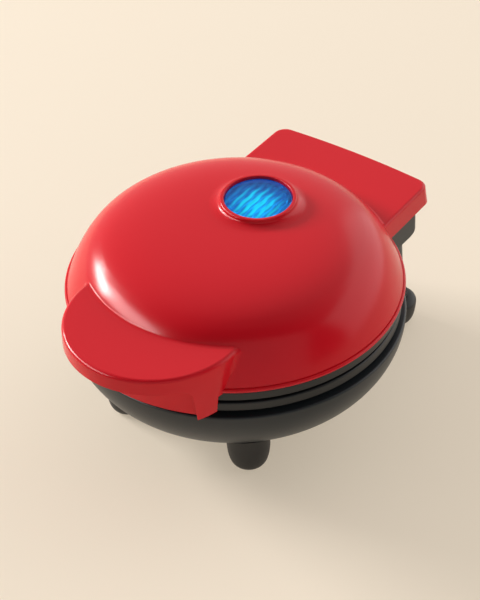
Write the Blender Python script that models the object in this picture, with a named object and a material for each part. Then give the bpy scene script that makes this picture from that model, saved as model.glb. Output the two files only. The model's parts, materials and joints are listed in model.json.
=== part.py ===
"""Mini waffle maker: a round hinged cooker on four feet, built piece by piece.

Metres, +Z up. The handle is towards -Y, the hinge towards +Y, and the plates are centred on the Z axis.
The origin is on the surface that the feet stand on. The lid's pieces hang from an empty on the hinge axis.
"""
import bpy
import bmesh
import math
from mathutils import Vector

mm = 0.001

# Fits that several pieces share
seat_gap = 0.3 * mm          # air between two pieces that touch
swing_gap = 0.5 * mm         # air beside a piece that turns
overrun = 4.0 * mm           # how far a cutter passes its wall
weld = 0.0005 * mm
flat_angle = 0.001           # radians
lap = 1.0 * mm               # how far a boss or a rib sinks into its own wall

# How finely round shapes are divided
rim_steps = 40
handle_steps = 18
foot_steps = 16
small_steps = 12
screw_steps = 8
corner_steps = 3
curve_steps = 7
bow_steps = 6
clip_steps = 10
tube_steps = 20
fine_steps = 60              # for a radius read off a curve
crease_angle = 32            # degrees

# Feet
foot_radius = 8.1 * mm
foot_sole_radius = 3.4 * mm
foot_sole_pull = 1.6 * mm     # how far the sole runs on before its edge turns up
foot_side_lean = 0.4 * mm
foot_side_drop = 2.5 * mm
foot_height = 11.2 * mm
foot_widest_height = 9.0 * mm
foot_top_radius = 4.6 * mm
foot_stub_radius = 3.0 * mm
foot_stub_drop = 6.0 * mm
foot_spread = 28.0 * mm      # either side of the middle
front_foot_reach = 33.0 * mm
rear_foot_margin = 3.1 * mm  # beyond the bowl

# Base shell
base_wall = 2.2 * mm
bowl_margin = 1.8 * mm       # beyond the plates
bowl_bottom_height = 9.4 * mm
bowl_depth = 28.8 * mm
bowl_flat_radius = 30.0 * mm
bowl_side_pull = 14.0 * mm   # how long the side stays upright before it curves in
bowl_floor_pull = 20.0 * mm
seat_ring_gap = 0.6 * mm     # inside the plate's lip
seat_ring_wall = 2.2 * mm
seat_ring_drop = 3.0 * mm
neck_half_width = 29.5 * mm
neck_length = 8.2 * mm       # beyond the bowl
neck_slope = 1.6 * mm        # how much farther back its foot stands
neck_bottom_height = 12.2 * mm
neck_corner = 4.5 * mm
neck_blend = 5.0 * mm
block_half_width = 31.8 * mm
block_overhang = 6.0 * mm    # behind the neck
block_cover_gap = 0.6 * mm    # between the cheeks' tops and the lid's hinge cover
block_corner = 4.6 * mm
block_mouth_drop = 3.6 * mm  # the rear wall between the cheeks stops this far below their tops
cheek_lap = 6.2 * mm         # how far the cheeks run forward over the bowl
cheek_width = 5.3 * mm
lead_window_half_width = 14.0 * mm
plate_post_inset = 3.8 * mm  # from the cavity's wall to a post's middle
plate_post_radius = 5.2 * mm
post_screw_depth = 8.0 * mm  # how far up the post the screw head sits
plate_post_angles = (90.0, 205.0, 335.0)

# Cooking plates
plate_radius = 62.0 * mm
plate_lip_height = 3.9 * mm
plate_lip_width = 1.8 * mm
plate_flange = 3.0 * mm
plate_groove = 2.9 * mm      # dark gap between the bowl's rim and the lower plate
steam_gap = 1.0 * mm
plate_flange_width = 11.2 * mm
cavity_depth = 8.0 * mm      # from the flange's face to the floor
cavity_draft = 1.4 * mm
plate_floor = 2.5 * mm
stud_pitch = 12.0 * mm
stud_foot = 8.8 * mm
stud_top = 6.4 * mm
stud_height = 5.8 * mm
stud_margin = 1.8 * mm       # from the cavity's wall to the studs
plate_boss_radius = 3.2 * mm
plate_boss_height = 4.0 * mm
centre_boss_radius = 4.0 * mm

# Heating elements, clamps and reflectors
tube_radius = 3.25 * mm
element_inset = 11.0 * mm     # these three from the reflector's edge
element_leg_spread = 7.3 * mm
element_leg_inset = 1.0 * mm
pin_radius = 1.3 * mm
pin_length = 6.0 * mm
clamp_inset = 5.0 * mm
clamp_width = 11.0 * mm
clamp_thickness = 1.2 * mm
reflector_gap = 0.8 * mm     # beside the plate posts
reflector_thickness = 0.6 * mm
reflector_rim = 3.0 * mm

# Screws: every one is a small self-tapping screw
screw_shank_radius = 1.2 * mm
screw_head_radius = 2.6 * mm
screw_head_height = 1.7 * mm
screw_slot = 0.7 * mm
clamp_screw_length = 8.0 * mm
carrier_screw_head_radius = 1.5 * mm
carrier_screw_shank_radius = 0.8 * mm
carrier_screw_length = 3.6 * mm

# Thermostat
thermostat_reach = 16.0 * mm
thermostat_radius = 6.5 * mm
thermostat_height = 7.0 * mm
thermostat_ear_reach = 10.0 * mm
thermostat_ear_radius = 2.8 * mm
thermostat_ear_thickness = 1.0 * mm
thermostat_boss_height = 3.0 * mm
thermostat_blade_width = 1.6 * mm
thermostat_blade_length = 3.0 * mm
thermostat_screw_length = 3.0 * mm

# Lid shell
lid_wall = 2.0 * mm
lid_gap = 0.5 * mm           # between the lid's rim and the upper plate
lid_margin = 1.5 * mm        # beyond the plates
lid_rim_height = 2.0 * mm
lid_rim_ledge = 0.6 * mm     # how far the rim stands out from the dome
dome_foot_rise = 2.2 * mm
dome_top_rise = 27.3 * mm    # both from the lid's lower edge
dome_side_lean = 20.0        # degrees
dome_side_pull = 23.0 * mm
dome_crown_pull = 48.0 * mm

# Lamp ring and lens
lens_reach = 16.2 * mm
lens_radius = 12.5 * mm
lens_ring_radius = 14.4 * mm
lens_ring_rise = 2.5 * mm    # above the dome's top
lens_flare_radius = 18.6 * mm
lens_flare_drop = 1.6 * mm   # the flare's foot, below the dome's top
lens_sink = 0.3 * mm
lens_crown = 0.5 * mm
lens_wall = 1.6 * mm
lens_depth = 6.6 * mm
lens_flange_radius = 14.6 * mm
lens_flange_thickness = 1.0 * mm
lens_rib_pitch = 2.9 * mm
lens_rib_width = 1.2 * mm
lens_rib_depth = 1.3 * mm
lens_rib_count = 7

# Lamp housing, board and lamp
housing_wall = 1.2 * mm
housing_depth = 4.2 * mm
board_gap = 0.6 * mm          # from the housing's floor to the bottom of its lead slot
housing_ear_reach = 19.0 * mm
housing_ear_radius = 3.2 * mm
housing_ear_thickness = 2.0 * mm
lamp_post_radius = 3.0 * mm
lamp_screw_length = 4.6 * mm
board_length = 17.0 * mm
board_width = 12.0 * mm
board_thickness = 1.0 * mm
lamp_radius = 2.5 * mm
lamp_height = 2.6 * mm
lamp_base_radius = 3.0 * mm
lamp_base_height = 0.8 * mm
lead_hole_reach = 6.0 * mm    # slot in the housing's wall, right of the middle

# Handle
handle_radius = 34.0 * mm
handle_reach = 19.6 * mm     # in front of the dome
handle_top_rise = 15.6 * mm  # from the lid's lower edge
handle_band = 6.4 * mm
handle_edge = 1.6 * mm
handle_wall = 2.4 * mm
handle_draft = 1.3 * mm      # how far the foot of the handle steps in
handle_blend = 5.0 * mm      # hollow curve where it meets the dome
skirt_margin = 2.6 * mm      # beyond the plates
skirt_wall = 2.6 * mm
skirt_drop = 7.0 * mm        # below the lid's lower edge
ear_half_width = 35.2 * mm
recess_half_width = 28.8 * mm
recess_corner = 4.0 * mm

# Hinge cover, part of the lid shell
cover_half_width = 35.0 * mm
cover_overhang = 4.5 * mm    # behind the hinge block
cover_bow = 1.6 * mm
cover_bottom_rise = 2.1 * mm # from the lid's lower edge
cover_height = 7.8 * mm
cover_draft = 0.5 * mm
cover_flare = 0.6 * mm       # how much wider it is at the dome
cover_corner = 4.8 * mm
cover_edge = 1.2 * mm
cover_lap = 17.9 * mm        # how far the cover runs forward into the dome
cover_side_wall = 1.8 * mm
cover_cavity_lap = 12.9 * mm

# Lid carrier and hinge
hinge_margin = 6.2 * mm      # from the bowl's side to the hinge axis
arm_gap = 0.5 * mm           # between an arm and its cheek
arm_width = 5.7 * mm
arm_boss_radius = 4.0 * mm
arm_plate_gap = 0.8 * mm     # where the arm turns down behind the plates
carrier_foot = 2.0 * mm
carrier_wall = 2.0 * mm
carrier_height = 7.2 * mm
carrier_notch_half_width = 15.0 * mm
carrier_screw_inset = 1.8 * mm
carrier_screw_hole = 2.4 * mm # depth in the plate's flange
carrier_screw_angles = (30.0, 150.0, 270.0)
hinge_pin_radius = 1.5 * mm
hinge_pin_bite = 3.6 * mm    # into each cheek

# Thermal fuse
fuse_reach = 14.0 * mm
fuse_radius = 2.0 * mm
fuse_length = 15.0 * mm
fuse_clip_wall = 0.8 * mm
fuse_clip_width = 5.0 * mm
fuse_clip_foot = 3.0 * mm

# Terminal block and cord inlet
block_pad_radius = 3.4 * mm
block_pad_height = 3.0 * mm
terminal_clearance = 3.8 * mm   # in front of the neck's rear wall
terminal_length = 20.0 * mm
terminal_depth = 8.0 * mm
terminal_height = 8.0 * mm
terminal_ridge = 1.6 * mm
terminal_screw_length = 9.2 * mm
inlet_height = 24.0 * mm
inlet_bore_radius = 3.3 * mm
inlet_sleeve_radius = 5.0 * mm
inlet_flange_radius = 6.8 * mm
inlet_flange_thickness = 1.5 * mm
inlet_sleeve_length = 5.0 * mm

# Internal leads
lead_radius = 1.1 * mm
sleeve_radius = 1.6 * mm

# Radii and reaches that follow from the plates' radius
bowl_radius = plate_radius + bowl_margin
seat_ring_outer = plate_radius - plate_lip_width - seat_ring_gap
cavity_radius = plate_radius - plate_flange_width
stud_field_radius = cavity_radius - stud_margin
plate_post_reach = cavity_radius - plate_post_inset
reflector_radius = plate_post_reach - plate_post_radius - reflector_gap
element_ring_radius = reflector_radius - element_inset
element_leg_end = reflector_radius - element_leg_inset
clamp_half_length = reflector_radius - clamp_inset
lid_radius = plate_radius + lid_margin
dome_foot_radius = lid_radius - lid_rim_ledge
skirt_inner = plate_radius + skirt_margin
handle_front = dome_foot_radius + handle_reach
neck_rear = bowl_radius + neck_length
neck_foot_rear = neck_rear + neck_slope
rear_foot_reach = bowl_radius + rear_foot_margin
cheek_front = bowl_radius - cheek_lap
block_rear = neck_rear + block_overhang
cover_rear = block_rear + cover_overhang
cover_front = dome_foot_radius - cover_lap
cover_cavity_front = dome_foot_radius - cover_cavity_lap
hinge_reach = bowl_radius + hinge_margin
arm_inner = block_half_width - cheek_width - arm_gap - arm_width
arm_drop_reach = math.sqrt(plate_radius ** 2 - arm_inner ** 2) + arm_plate_gap
carrier_screw_reach = cavity_radius + plate_floor + swing_gap + carrier_screw_inset
terminal_reach = neck_rear - base_wall - terminal_clearance - terminal_depth / 2

# Heights that follow from the sizes above
bowl_rim_height = bowl_bottom_height + bowl_depth
lower_lip_height = bowl_rim_height + plate_groove
lower_land_height = lower_lip_height + plate_lip_height
upper_land_height = lower_land_height + steam_gap
split_height = lower_land_height + steam_gap / 2
upper_lip_height = upper_land_height + plate_lip_height
lid_edge_height = upper_lip_height + lid_gap
dome_foot_height = lid_edge_height + dome_foot_rise
dome_top_height = lid_edge_height + dome_top_rise
plate_back_reach = cavity_depth + plate_floor + steam_gap / 2   # from the split to a plate's back
lower_back_height = split_height - plate_back_reach
upper_back_height = split_height + plate_back_reach
centre_boss_height = 2 * (seat_gap + tube_radius)
hinge_height = split_height
block_underside_height = hinge_height - arm_boss_radius - seat_gap - base_wall
block_top_height = lid_edge_height + cover_bottom_rise - block_cover_gap


def bend(start, start_pull, end_pull, end, steps=curve_steps):
    """Points of a cubic curve from start to end, with both ends included."""
    points = []
    for step in range(steps + 1):
        t = step / steps
        u = 1 - t
        points.append(tuple(u ** 3 * a + 3 * u * u * t * b + 3 * u * t * t * c + t ** 3 * d
                            for a, b, c, d in zip(start, start_pull, end_pull, end)))
    return points


def arc(middle, radius, first, last, steps):
    """Points on a circle round middle, from the first angle to the last, in degrees."""
    points = []
    for step in range(steps + 1):
        angle = math.radians(first + (last - first) * step / steps)
        points.append((middle[0] + radius * math.cos(angle), middle[1] + radius * math.sin(angle)))
    return points


def rounded(corners, steps=corner_steps):
    """Outline through (x, y, radius) corners, where each radius turns its corner with an arc."""
    outline = []
    for i, (x, y, radius) in enumerate(corners):
        corner = Vector((x, y))
        back = (Vector(corners[i - 1][:2]) - corner).normalized()
        ahead = (Vector(corners[(i + 1) % len(corners)][:2]) - corner).normalized()
        if not radius:
            outline.append((x, y))
            continue
        half = back.angle(ahead) / 2
        middle = corner + (back + ahead).normalized() * (radius / math.sin(half))
        first = corner + back * (radius / math.tan(half)) - middle
        last = corner + ahead * (radius / math.tan(half)) - middle
        turn = first.angle_signed(last)
        for step in range(steps + 1):
            angle = -turn * step / steps
            spoke = Vector((first.x * math.cos(angle) - first.y * math.sin(angle),
                            first.x * math.sin(angle) + first.y * math.cos(angle)))
            outline.append(tuple(middle + spoke))
    return outline


def cleaned(shape):
    """Merge doubled points and dissolve the edges inside flat faces."""
    bmesh.ops.remove_doubles(shape, verts=shape.verts, dist=weld)
    bmesh.ops.dissolve_limit(shape, angle_limit=flat_angle, verts=shape.verts, edges=shape.edges,
                             use_dissolve_boundaries=False)


def from_shape(name, shape):
    """Make an object of a bmesh, with its faces pointing out."""
    cleaned(shape)
    bmesh.ops.recalc_face_normals(shape, faces=shape.faces)
    mesh = bpy.data.meshes.new(name)
    shape.to_mesh(mesh)
    shape.free()
    piece = bpy.data.objects.new(name, mesh)
    bpy.context.scene.collection.objects.link(piece)
    return piece


def turned(name, outline, steps, middle=(0.0, 0.0), closed=False):
    """Turn an outline of (radius, height) points once round an upright line through middle."""
    shape = bmesh.new()
    ring = [shape.verts.new((radius, 0, height)) for radius, height in outline]
    edges = [shape.edges.new(pair) for pair in zip(ring, ring[1:])]
    if closed:
        edges.append(shape.edges.new((ring[-1], ring[0])))
    bmesh.ops.spin(shape, geom=ring + edges, cent=(0, 0, 0), axis=(0, 0, 1), angle=math.tau,
                   steps=steps, use_merge=True, use_duplicate=False)
    bmesh.ops.translate(shape, verts=shape.verts, vec=(middle[0], middle[1], 0))
    return from_shape(name, shape)


def post(name, radius, low, high, middle=(0.0, 0.0), steps=small_steps):
    """Upright round post."""
    return turned(name, [(0, low), (radius, low), (radius, high), (0, high)], steps, middle)


def stacked(name, rings):
    """Skin between rings that have the same number of points, closed at both ends."""
    shape = bmesh.new()
    rows = [[shape.verts.new(point) for point in ring] for ring in rings]
    for low, high in zip(rows, rows[1:]):
        for i, point in enumerate(low):
            j = (i + 1) % len(low)
            shape.faces.new((point, low[j], high[j], high[i]))
    shape.faces.new(list(reversed(rows[0])))
    shape.faces.new(rows[-1])
    return from_shape(name, shape)


def prism(name, outline, axis, low, high):
    """Outline drawn square to the axis, pushed along it from low to high."""
    order = {'X': lambda a, b, c: (c, a, b),
             'Y': lambda a, b, c: (a, c, b),
             'Z': lambda a, b, c: (a, b, c)}[axis]
    return stacked(name, [[order(a, b, level) for a, b in outline] for level in (low, high)])


def box(name, low, high):
    """Block between two corners."""
    outline = [(low[0], low[1]), (high[0], low[1]), (high[0], high[1]), (low[0], high[1])]
    return prism(name, outline, 'Z', low[2], high[2])


def tube(name, route, radius):
    """Closed round tube along a route of points."""
    curve = bpy.data.curves.new(name, 'CURVE')
    curve.dimensions = '3D'
    curve.bevel_depth = radius
    curve.bevel_resolution = 1
    curve.use_fill_caps = True
    spline = curve.splines.new('POLY')
    spline.points.add(len(route) - 1)
    for point, place in zip(spline.points, route):
        point.co = (*place, 1.0)
    rail = bpy.data.objects.new(name, curve)
    bpy.context.scene.collection.objects.link(rail)
    view = bpy.context.evaluated_depsgraph_get()
    shape = bmesh.new()
    shape.from_mesh(bpy.data.meshes.new_from_object(rail.evaluated_get(view)))
    bpy.data.objects.remove(rail)
    return from_shape(name, shape)


def lying(piece):
    """Lay an upright turned piece along Y, its top towards +Y."""
    for vertex in piece.data.vertices:
        x, y, z = vertex.co
        vertex.co = (x, z, -y)
    return piece


def crosswise(piece):
    """Lay an upright turned piece along X, its top towards +X."""
    for vertex in piece.data.vertices:
        x, y, z = vertex.co
        vertex.co = (z, y, -x)
    return piece


def moved(piece, offset):
    for vertex in piece.data.vertices:
        vertex.co += Vector(offset)
    return piece


def worked(piece, operation, *tools):
    """Join, cut or trim a piece with tools, which are used up."""
    for tool in tools:
        step = piece.modifiers.new(operation.lower(), 'BOOLEAN')
        step.operation = operation
        step.object = tool
        step.solver = 'EXACT'
    view = bpy.context.evaluated_depsgraph_get()
    mesh = bpy.data.meshes.new_from_object(piece.evaluated_get(view))
    piece.modifiers.clear()
    shape = bmesh.new()
    shape.from_mesh(mesh)
    cleaned(shape)
    shape.to_mesh(mesh)
    shape.free()
    piece.data = mesh
    for tool in tools:
        bpy.data.objects.remove(tool)
    return piece


def joined(piece, *tools):
    return worked(piece, 'UNION', *tools)


def cut(piece, *tools):
    return worked(piece, 'DIFFERENCE', *tools)


def material(name, colour, roughness, metallic=0.0):
    finish = bpy.data.materials.new(name)
    finish.use_nodes = True
    shader = finish.node_tree.nodes['Principled BSDF']
    shader.inputs['Base Color'].default_value = (*colour, 1.0)
    shader.inputs['Roughness'].default_value = roughness
    shader.inputs['Metallic'].default_value = metallic
    finish.diffuse_color = (*colour, 1.0)
    return finish


def finished(piece, name, colour, roughness, metallic=0.0, on_lid=False):
    """Name a piece, give it its own material and hang it from the hinge if it is the lid's."""
    piece.name = name
    piece.data.name = name
    piece.data.materials.clear()
    piece.data.materials.append(material(name, colour, roughness, metallic))
    piece.data.shade_smooth()
    piece.data.set_sharp_from_angle(angle=math.radians(crease_angle))
    if on_lid:
        moved(piece, -hinge_axis.location)
        piece.parent = hinge_axis
    return piece


def round_about(angle, reach):
    """Place at an angle round the plates, in degrees from +X."""
    return reach * math.cos(math.radians(angle)), reach * math.sin(math.radians(angle))


red = (0.56, 0.02, 0.028)
black = (0.03, 0.031, 0.03)
rubber = (0.02, 0.02, 0.02)
coating = (0.022, 0.022, 0.022)
steel = (0.62, 0.62, 0.6)
bright_steel = (0.7, 0.7, 0.69)
heater_steel = (0.2, 0.19, 0.18)
brown = (0.05, 0.045, 0.04)
white = (0.82, 0.82, 0.78)
board_green = (0.03, 0.2, 0.08)
lens_blue = (0.02, 0.35, 0.75)
lamp_glass = (0.5, 0.75, 0.95)
sleeve_grey = (0.5, 0.47, 0.4)


def screw(name, head_height, reach, length, up, on_lid, head_radius=screw_head_radius,
          shank_radius=screw_shank_radius):
    """Screw whose shank leaves its head upwards or downwards, with a cross cut in the head."""
    way = 1 if up else -1
    head_end = head_height - way * screw_head_height
    bevel = screw_slot / 2
    piece = turned(name, [(0, head_end), (head_radius - bevel, head_end),
                          (head_radius, head_end + way * bevel),
                          (head_radius, head_height), (shank_radius, head_height),
                          (shank_radius, head_height + way * (length - shank_radius)),
                          (0, head_height + way * length)], screw_steps, reach)
    slot_floor = head_end + way * screw_head_height / 2
    low, high = sorted((head_end - way * overrun, slot_floor))
    arm = head_radius * 2 / 3
    for half_x, half_y in ((arm, screw_slot / 2), (screw_slot / 2, arm)):
        piece = cut(piece, box('slot', (reach[0] - half_x, reach[1] - half_y, low),
                               (reach[0] + half_x, reach[1] + half_y, high)))
    return finished(piece, name, steel, 0.35, 1.0, on_lid)


# Base shell: black moulded bowl with the hinge block and its neck behind it
def bowl_outline(inset, steps=curve_steps):
    """Side of the bowl from its rim to its flat bottom, moved in by inset."""
    rim = (bowl_radius - inset, bowl_rim_height)
    side = (bowl_radius - inset, bowl_rim_height - bowl_side_pull)
    floor = (bowl_flat_radius + bowl_floor_pull, bowl_bottom_height + inset)
    flat = (bowl_flat_radius, bowl_bottom_height + inset)
    return bend(rim, side, floor, flat, steps)


def bowl_radius_at(height, inset):
    """Radius of the bowl's side at a height, moved in by inset."""
    outline = bowl_outline(inset, fine_steps)
    for (near, high), (far, low) in zip(outline, outline[1:]):
        if low <= height <= high:
            return far + (near - far) * (height - low) / (high - low)
    return bowl_radius - inset


def neck_rear_at(height):
    """How far back the neck's sloping rear wall stands at a height."""
    rise = (height - neck_bottom_height) / (block_underside_height - neck_bottom_height)
    return neck_foot_rear + (neck_rear - neck_foot_rear) * rise


def neck_ring(height, half, rear, corner):
    """Plan of the neck at one height."""
    outline = rounded([(-half, 0, 0), (half, 0, 0), (half, rear, corner), (-half, rear, corner)])
    return [(x, y, height) for x, y in outline]


def neck_solid():
    """Body behind the bowl, on the rear feet, that spreads with a hollow curve under the hinge block."""
    rings = [neck_ring(neck_bottom_height, neck_half_width - lap, neck_foot_rear - lap, neck_corner)]
    rings.append(neck_ring(neck_bottom_height + lap, neck_half_width,
                           neck_rear_at(neck_bottom_height + lap), neck_corner))
    for turn in (0, 35, 65, 85):
        height = block_underside_height + neck_blend * (math.sin(math.radians(turn)) - 1)
        spread = 1 - math.cos(math.radians(turn))
        rings.append(neck_ring(height, neck_half_width + spread * (block_half_width - neck_half_width),
                               neck_rear_at(height) + spread * neck_blend, neck_corner))
    rings.append([(x, y, block_underside_height + lap) for x, y, _ in rings[-1]])
    return stacked('neck', rings)


def bowl_solid(name, inset, top, steps=rim_steps):
    """Bowl as a solid, moved in by inset and carried straight up to a height above its rim."""
    return turned(name, [(0, top), (bowl_radius - inset, top)] + bowl_outline(inset)
                  + [(0, bowl_bottom_height + inset)], steps)


def base_shell():
    # Bowl with a ledge under its rim and the ring that carries the plate
    ring_inner = seat_ring_outer - seat_ring_wall
    ring_top = lower_land_height - plate_flange - seat_gap
    ledge_bottom = bowl_rim_height - seat_ring_drop
    inner_curve = [(radius, height) for radius, height in bowl_outline(base_wall) if height < ledge_bottom]
    profile = [(0, bowl_bottom_height)] + bowl_outline(0)[::-1]
    profile += [(seat_ring_outer, bowl_rim_height), (seat_ring_outer, ring_top), (ring_inner, ring_top),
                (ring_inner, ledge_bottom), (bowl_radius_at(ledge_bottom, base_wall), ledge_bottom)]
    profile += inner_curve + [(0, bowl_bottom_height + base_wall)]
    shell = turned('bowl', profile, rim_steps)

    # Neck and hinge block behind it: hollow, with a cheek on both sides, open above between them
    block = prism('block', rounded([(cheek_front, block_underside_height, 0),
                                    (block_rear, block_underside_height, block_corner),
                                    (block_rear, block_top_height, lap),
                                    (cheek_front, block_top_height, block_corner)]),
                  'X', -block_half_width, block_half_width)
    plan = prism('plan', rounded([(-block_half_width, 0, 0), (block_half_width, 0, 0),
                                  (block_half_width, block_rear, block_corner),
                                  (-block_half_width, block_rear, block_corner)]),
                 'Z', neck_bottom_height, block_top_height + overrun)
    block = worked(block, 'INTERSECT', plan)
    rear = joined(neck_solid(), block)
    cheek_inner = block_half_width - cheek_width
    well_floor = block_underside_height + base_wall
    mouth_height = block_top_height - block_mouth_drop
    above = block_top_height + overrun
    well = prism('well', [(0, well_floor), (block_rear - base_wall, well_floor),
                          (block_rear - base_wall, mouth_height), (block_rear + overrun, mouth_height),
                          (block_rear + overrun, above), (0, above)], 'X', -cheek_inner, cheek_inner)
    neck_inside = stacked('neck_inside', [
        neck_ring(height, neck_half_width - 2 * base_wall, neck_rear_at(height) - base_wall,
                  neck_corner - base_wall)
        for height in (neck_bottom_height + base_wall, well_floor + lap)])
    rear = cut(rear, neck_inside, well, bowl_solid('core', base_wall / 2, above))
    window = box('window',
                 (-lead_window_half_width, bowl_flat_radius, neck_bottom_height + 2 * base_wall),
                 (lead_window_half_width, neck_rear - 2 * base_wall, ledge_bottom - base_wall))
    outer = cut(joined(shell, rear), window)

    # Posts for the plate screws, each with a round pocket for the screw's head that opens under the bowl
    for angle in plate_post_angles:
        place = round_about(angle, plate_post_reach)
        column = post('post', plate_post_radius, bowl_bottom_height, plate_boss_bottom - seat_gap, place)
        column = worked(column, 'INTERSECT', bowl_solid('bowl_trim', base_wall / 3, block_top_height))
        pocket = post('pocket', screw_head_radius + 2 * seat_gap, bowl_bottom_height - overrun,
                      post_head_height, place)
        hole = post('hole', screw_shank_radius + seat_gap, bowl_bottom_height,
                    plate_boss_bottom + overrun, place)
        outer = cut(joined(outer, column), pocket, hole)

    # Stubs that the feet are pressed on, on short collars at the rear
    neck_floor = neck_bottom_height + base_wall
    for x, y in foot_places:
        stub = post('stub', foot_stub_radius, foot_height - foot_stub_drop,
                    bowl_bottom_height + foot_radius, (x, y))
        if y > 0:
            collar = post('collar', foot_top_radius, foot_height + seat_gap, neck_floor, (x, y))
            trim = post('trim', foot_radius, 0, neck_floor - seat_gap, (x, y))
            stub = worked(joined(stub, collar), 'INTERSECT', trim)
        else:
            stub = cut(stub, bowl_solid('bowl_trim', base_wall / 2, block_top_height))
        outer = joined(outer, stub)

    # Pad for the terminal block, bearing holes for the hinge pins, and the hole for the cord inlet
    pad_top = neck_floor + block_pad_height
    outer = joined(outer, post('pad', block_pad_radius, neck_bottom_height + lap, pad_top,
                               (0, terminal_reach)))
    outer = cut(outer, post('pad_hole', screw_shank_radius + seat_gap, pad_top - block_pad_height,
                            pad_top + overrun, (0, terminal_reach)))
    for side in (-1, 1):
        low, high = sorted((side * (cheek_inner - overrun), side * (cheek_inner + hinge_pin_bite + seat_gap)))
        bore = crosswise(post('bore', hinge_pin_radius + seat_gap, low, high))
        outer = cut(outer, moved(bore, (0, hinge_reach, hinge_height)))
    inlet = lying(post('inlet', inlet_sleeve_radius + seat_gap, neck_rear - base_wall - overrun,
                       neck_foot_rear + overrun))
    outer = cut(outer, moved(inlet, (0, 0, inlet_height)))
    return finished(outer, 'base_shell', black, 0.45)


def foot(name, x, y):
    """Rubber foot bored for its stub: a front one runs up to the bowl, a rear one has a round shoulder."""
    under_bowl = y < 0
    top = foot_height + under_bowl * foot_radius
    outline = [(0, 0), (foot_sole_radius, 0)]
    outline += bend((foot_sole_radius, 0), (foot_sole_radius + foot_sole_pull, 0),
                    (foot_radius - foot_side_lean, foot_side_drop), (foot_radius, foot_widest_height),
                    corner_steps + 2)[1:]
    if under_bowl:
        outline.append((foot_radius, top))
    else:
        outline += bend((foot_radius, foot_widest_height), (foot_radius, foot_height - lap),
                        (foot_radius - lap, foot_height), (foot_top_radius, foot_height), corner_steps)[1:]
    outline.append((0, top))
    piece = turned(name, outline, foot_steps, (x, y))
    if under_bowl:
        piece = cut(piece, bowl_solid('ceiling', -seat_gap, bowl_rim_height))
    piece = cut(piece, post('bore', foot_stub_radius + seat_gap, foot_height - foot_stub_drop - seat_gap,
                            top + overrun, (x, y)))
    return finished(piece, name, rubber, 0.6)


# Cooking plates: cast aluminium with a dark non-stick coat, one the other turned over
def plate(name, way):
    """One plate, drawn from the split: way is -1 for the lower plate and 1 for the upper."""
    def at(distance):
        return split_height + way * (steam_gap / 2 + distance)

    lip_inner = plate_radius - plate_lip_width
    dish_outer = cavity_radius + plate_floor
    back = at(cavity_depth + plate_floor)
    outline = [(0, at(cavity_depth)), (cavity_radius - cavity_draft, at(cavity_depth)),
               (cavity_radius, at(0)), (plate_radius, at(0)),
               (plate_radius, at(plate_lip_height)), (lip_inner, at(plate_lip_height)),
               (lip_inner, at(plate_flange)), (dish_outer, at(plate_flange)),
               (dish_outer - cavity_draft, back), (0, back)]
    piece = turned(name, outline, rim_steps)

    # Waffle studs in a square field, trimmed to the round cavity
    shape = bmesh.new()
    stud_taper = (stud_foot - stud_top) / 2 / stud_height
    count = int(cavity_radius / stud_pitch) + 1
    for row in range(-count, count):
        for column in range(-count, count):
            x, y = (column + 1 / 2) * stud_pitch, (row + 1 / 2) * stud_pitch
            if math.hypot(x, y) > stud_field_radius + stud_foot / 4:
                continue
            rings = []
            for half, depth in ((stud_foot / 2 + stud_taper * plate_floor / 2,
                                 cavity_depth + plate_floor / 2),
                                (stud_top / 2, cavity_depth - stud_height)):
                rings.append([shape.verts.new((x + a * half, y + b * half, at(depth)))
                              for a, b in ((-1, -1), (1, -1), (1, 1), (-1, 1))])
            for low, high in zip(rings, rings[1:]):
                for i in range(4):
                    shape.faces.new((low[i], low[(i + 1) % 4], high[(i + 1) % 4], high[i]))
            shape.faces.new(list(reversed(rings[0])))
            shape.faces.new(rings[-1])
    studs = from_shape('studs', shape)
    low, high = sorted((at(0), back))
    studs = worked(studs, 'INTERSECT', post('field', stud_field_radius, low, high, steps=rim_steps // 2))
    piece = joined(piece, studs)

    # Bosses on the back, then the screw holes in them
    bosses = [(centre_boss_radius, centre_boss_height, (0.0, 0.0))]
    if way < 0:
        bosses += [(plate_boss_radius, plate_boss_height, round_about(angle, plate_post_reach))
                   for angle in plate_post_angles]
        bosses += [(thermostat_ear_radius, thermostat_boss_height,
                    (side * thermostat_ear_reach, -thermostat_reach)) for side in (-1, 1)]
    for radius, tall, place in bosses:
        low, high = sorted((back - way * lap, back + way * tall))
        piece = joined(piece, post('boss', radius, low, high, place))
        low, high = sorted((back, back + way * (tall + overrun)))
        piece = cut(piece, post('hole', screw_shank_radius + seat_gap, low, high, place))
    if way > 0:
        for angle in carrier_screw_angles:
            place = round_about(angle, carrier_screw_reach)
            piece = cut(piece, post('hole', carrier_screw_shank_radius + seat_gap,
                                    upper_land_height + plate_flange - carrier_screw_hole,
                                    upper_land_height + plate_flange + overrun, place))
    return finished(piece, name, coating, 0.4, 0.0, way > 0)


def element(name, way):
    """Bent tube heater on the back of a plate, with a thin terminal pin at each end."""
    height = (lower_back_height if way < 0 else upper_back_height) + way * (seat_gap + tube_radius)
    gap = math.degrees(math.asin(element_leg_spread / element_ring_radius)) * 2
    route = [(-element_leg_spread, element_leg_end), (-element_leg_spread, element_ring_radius + tube_radius)]
    route += arc((0, 0), element_ring_radius, 90 + gap, 450 - gap, tube_steps)
    route += [(element_leg_spread, element_ring_radius + tube_radius), (element_leg_spread, element_leg_end)]
    piece = tube(name, [(x, y, height) for x, y in route], tube_radius)
    for side in (-1, 1):
        pin = lying(post('pin', pin_radius, element_leg_end - lap, element_leg_end + pin_length,
                         steps=screw_steps))
        piece = joined(piece, moved(pin, (side * element_leg_spread, 0, height)))
    return finished(piece, name, heater_steel, 0.5, 0.8, way > 0)


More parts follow.
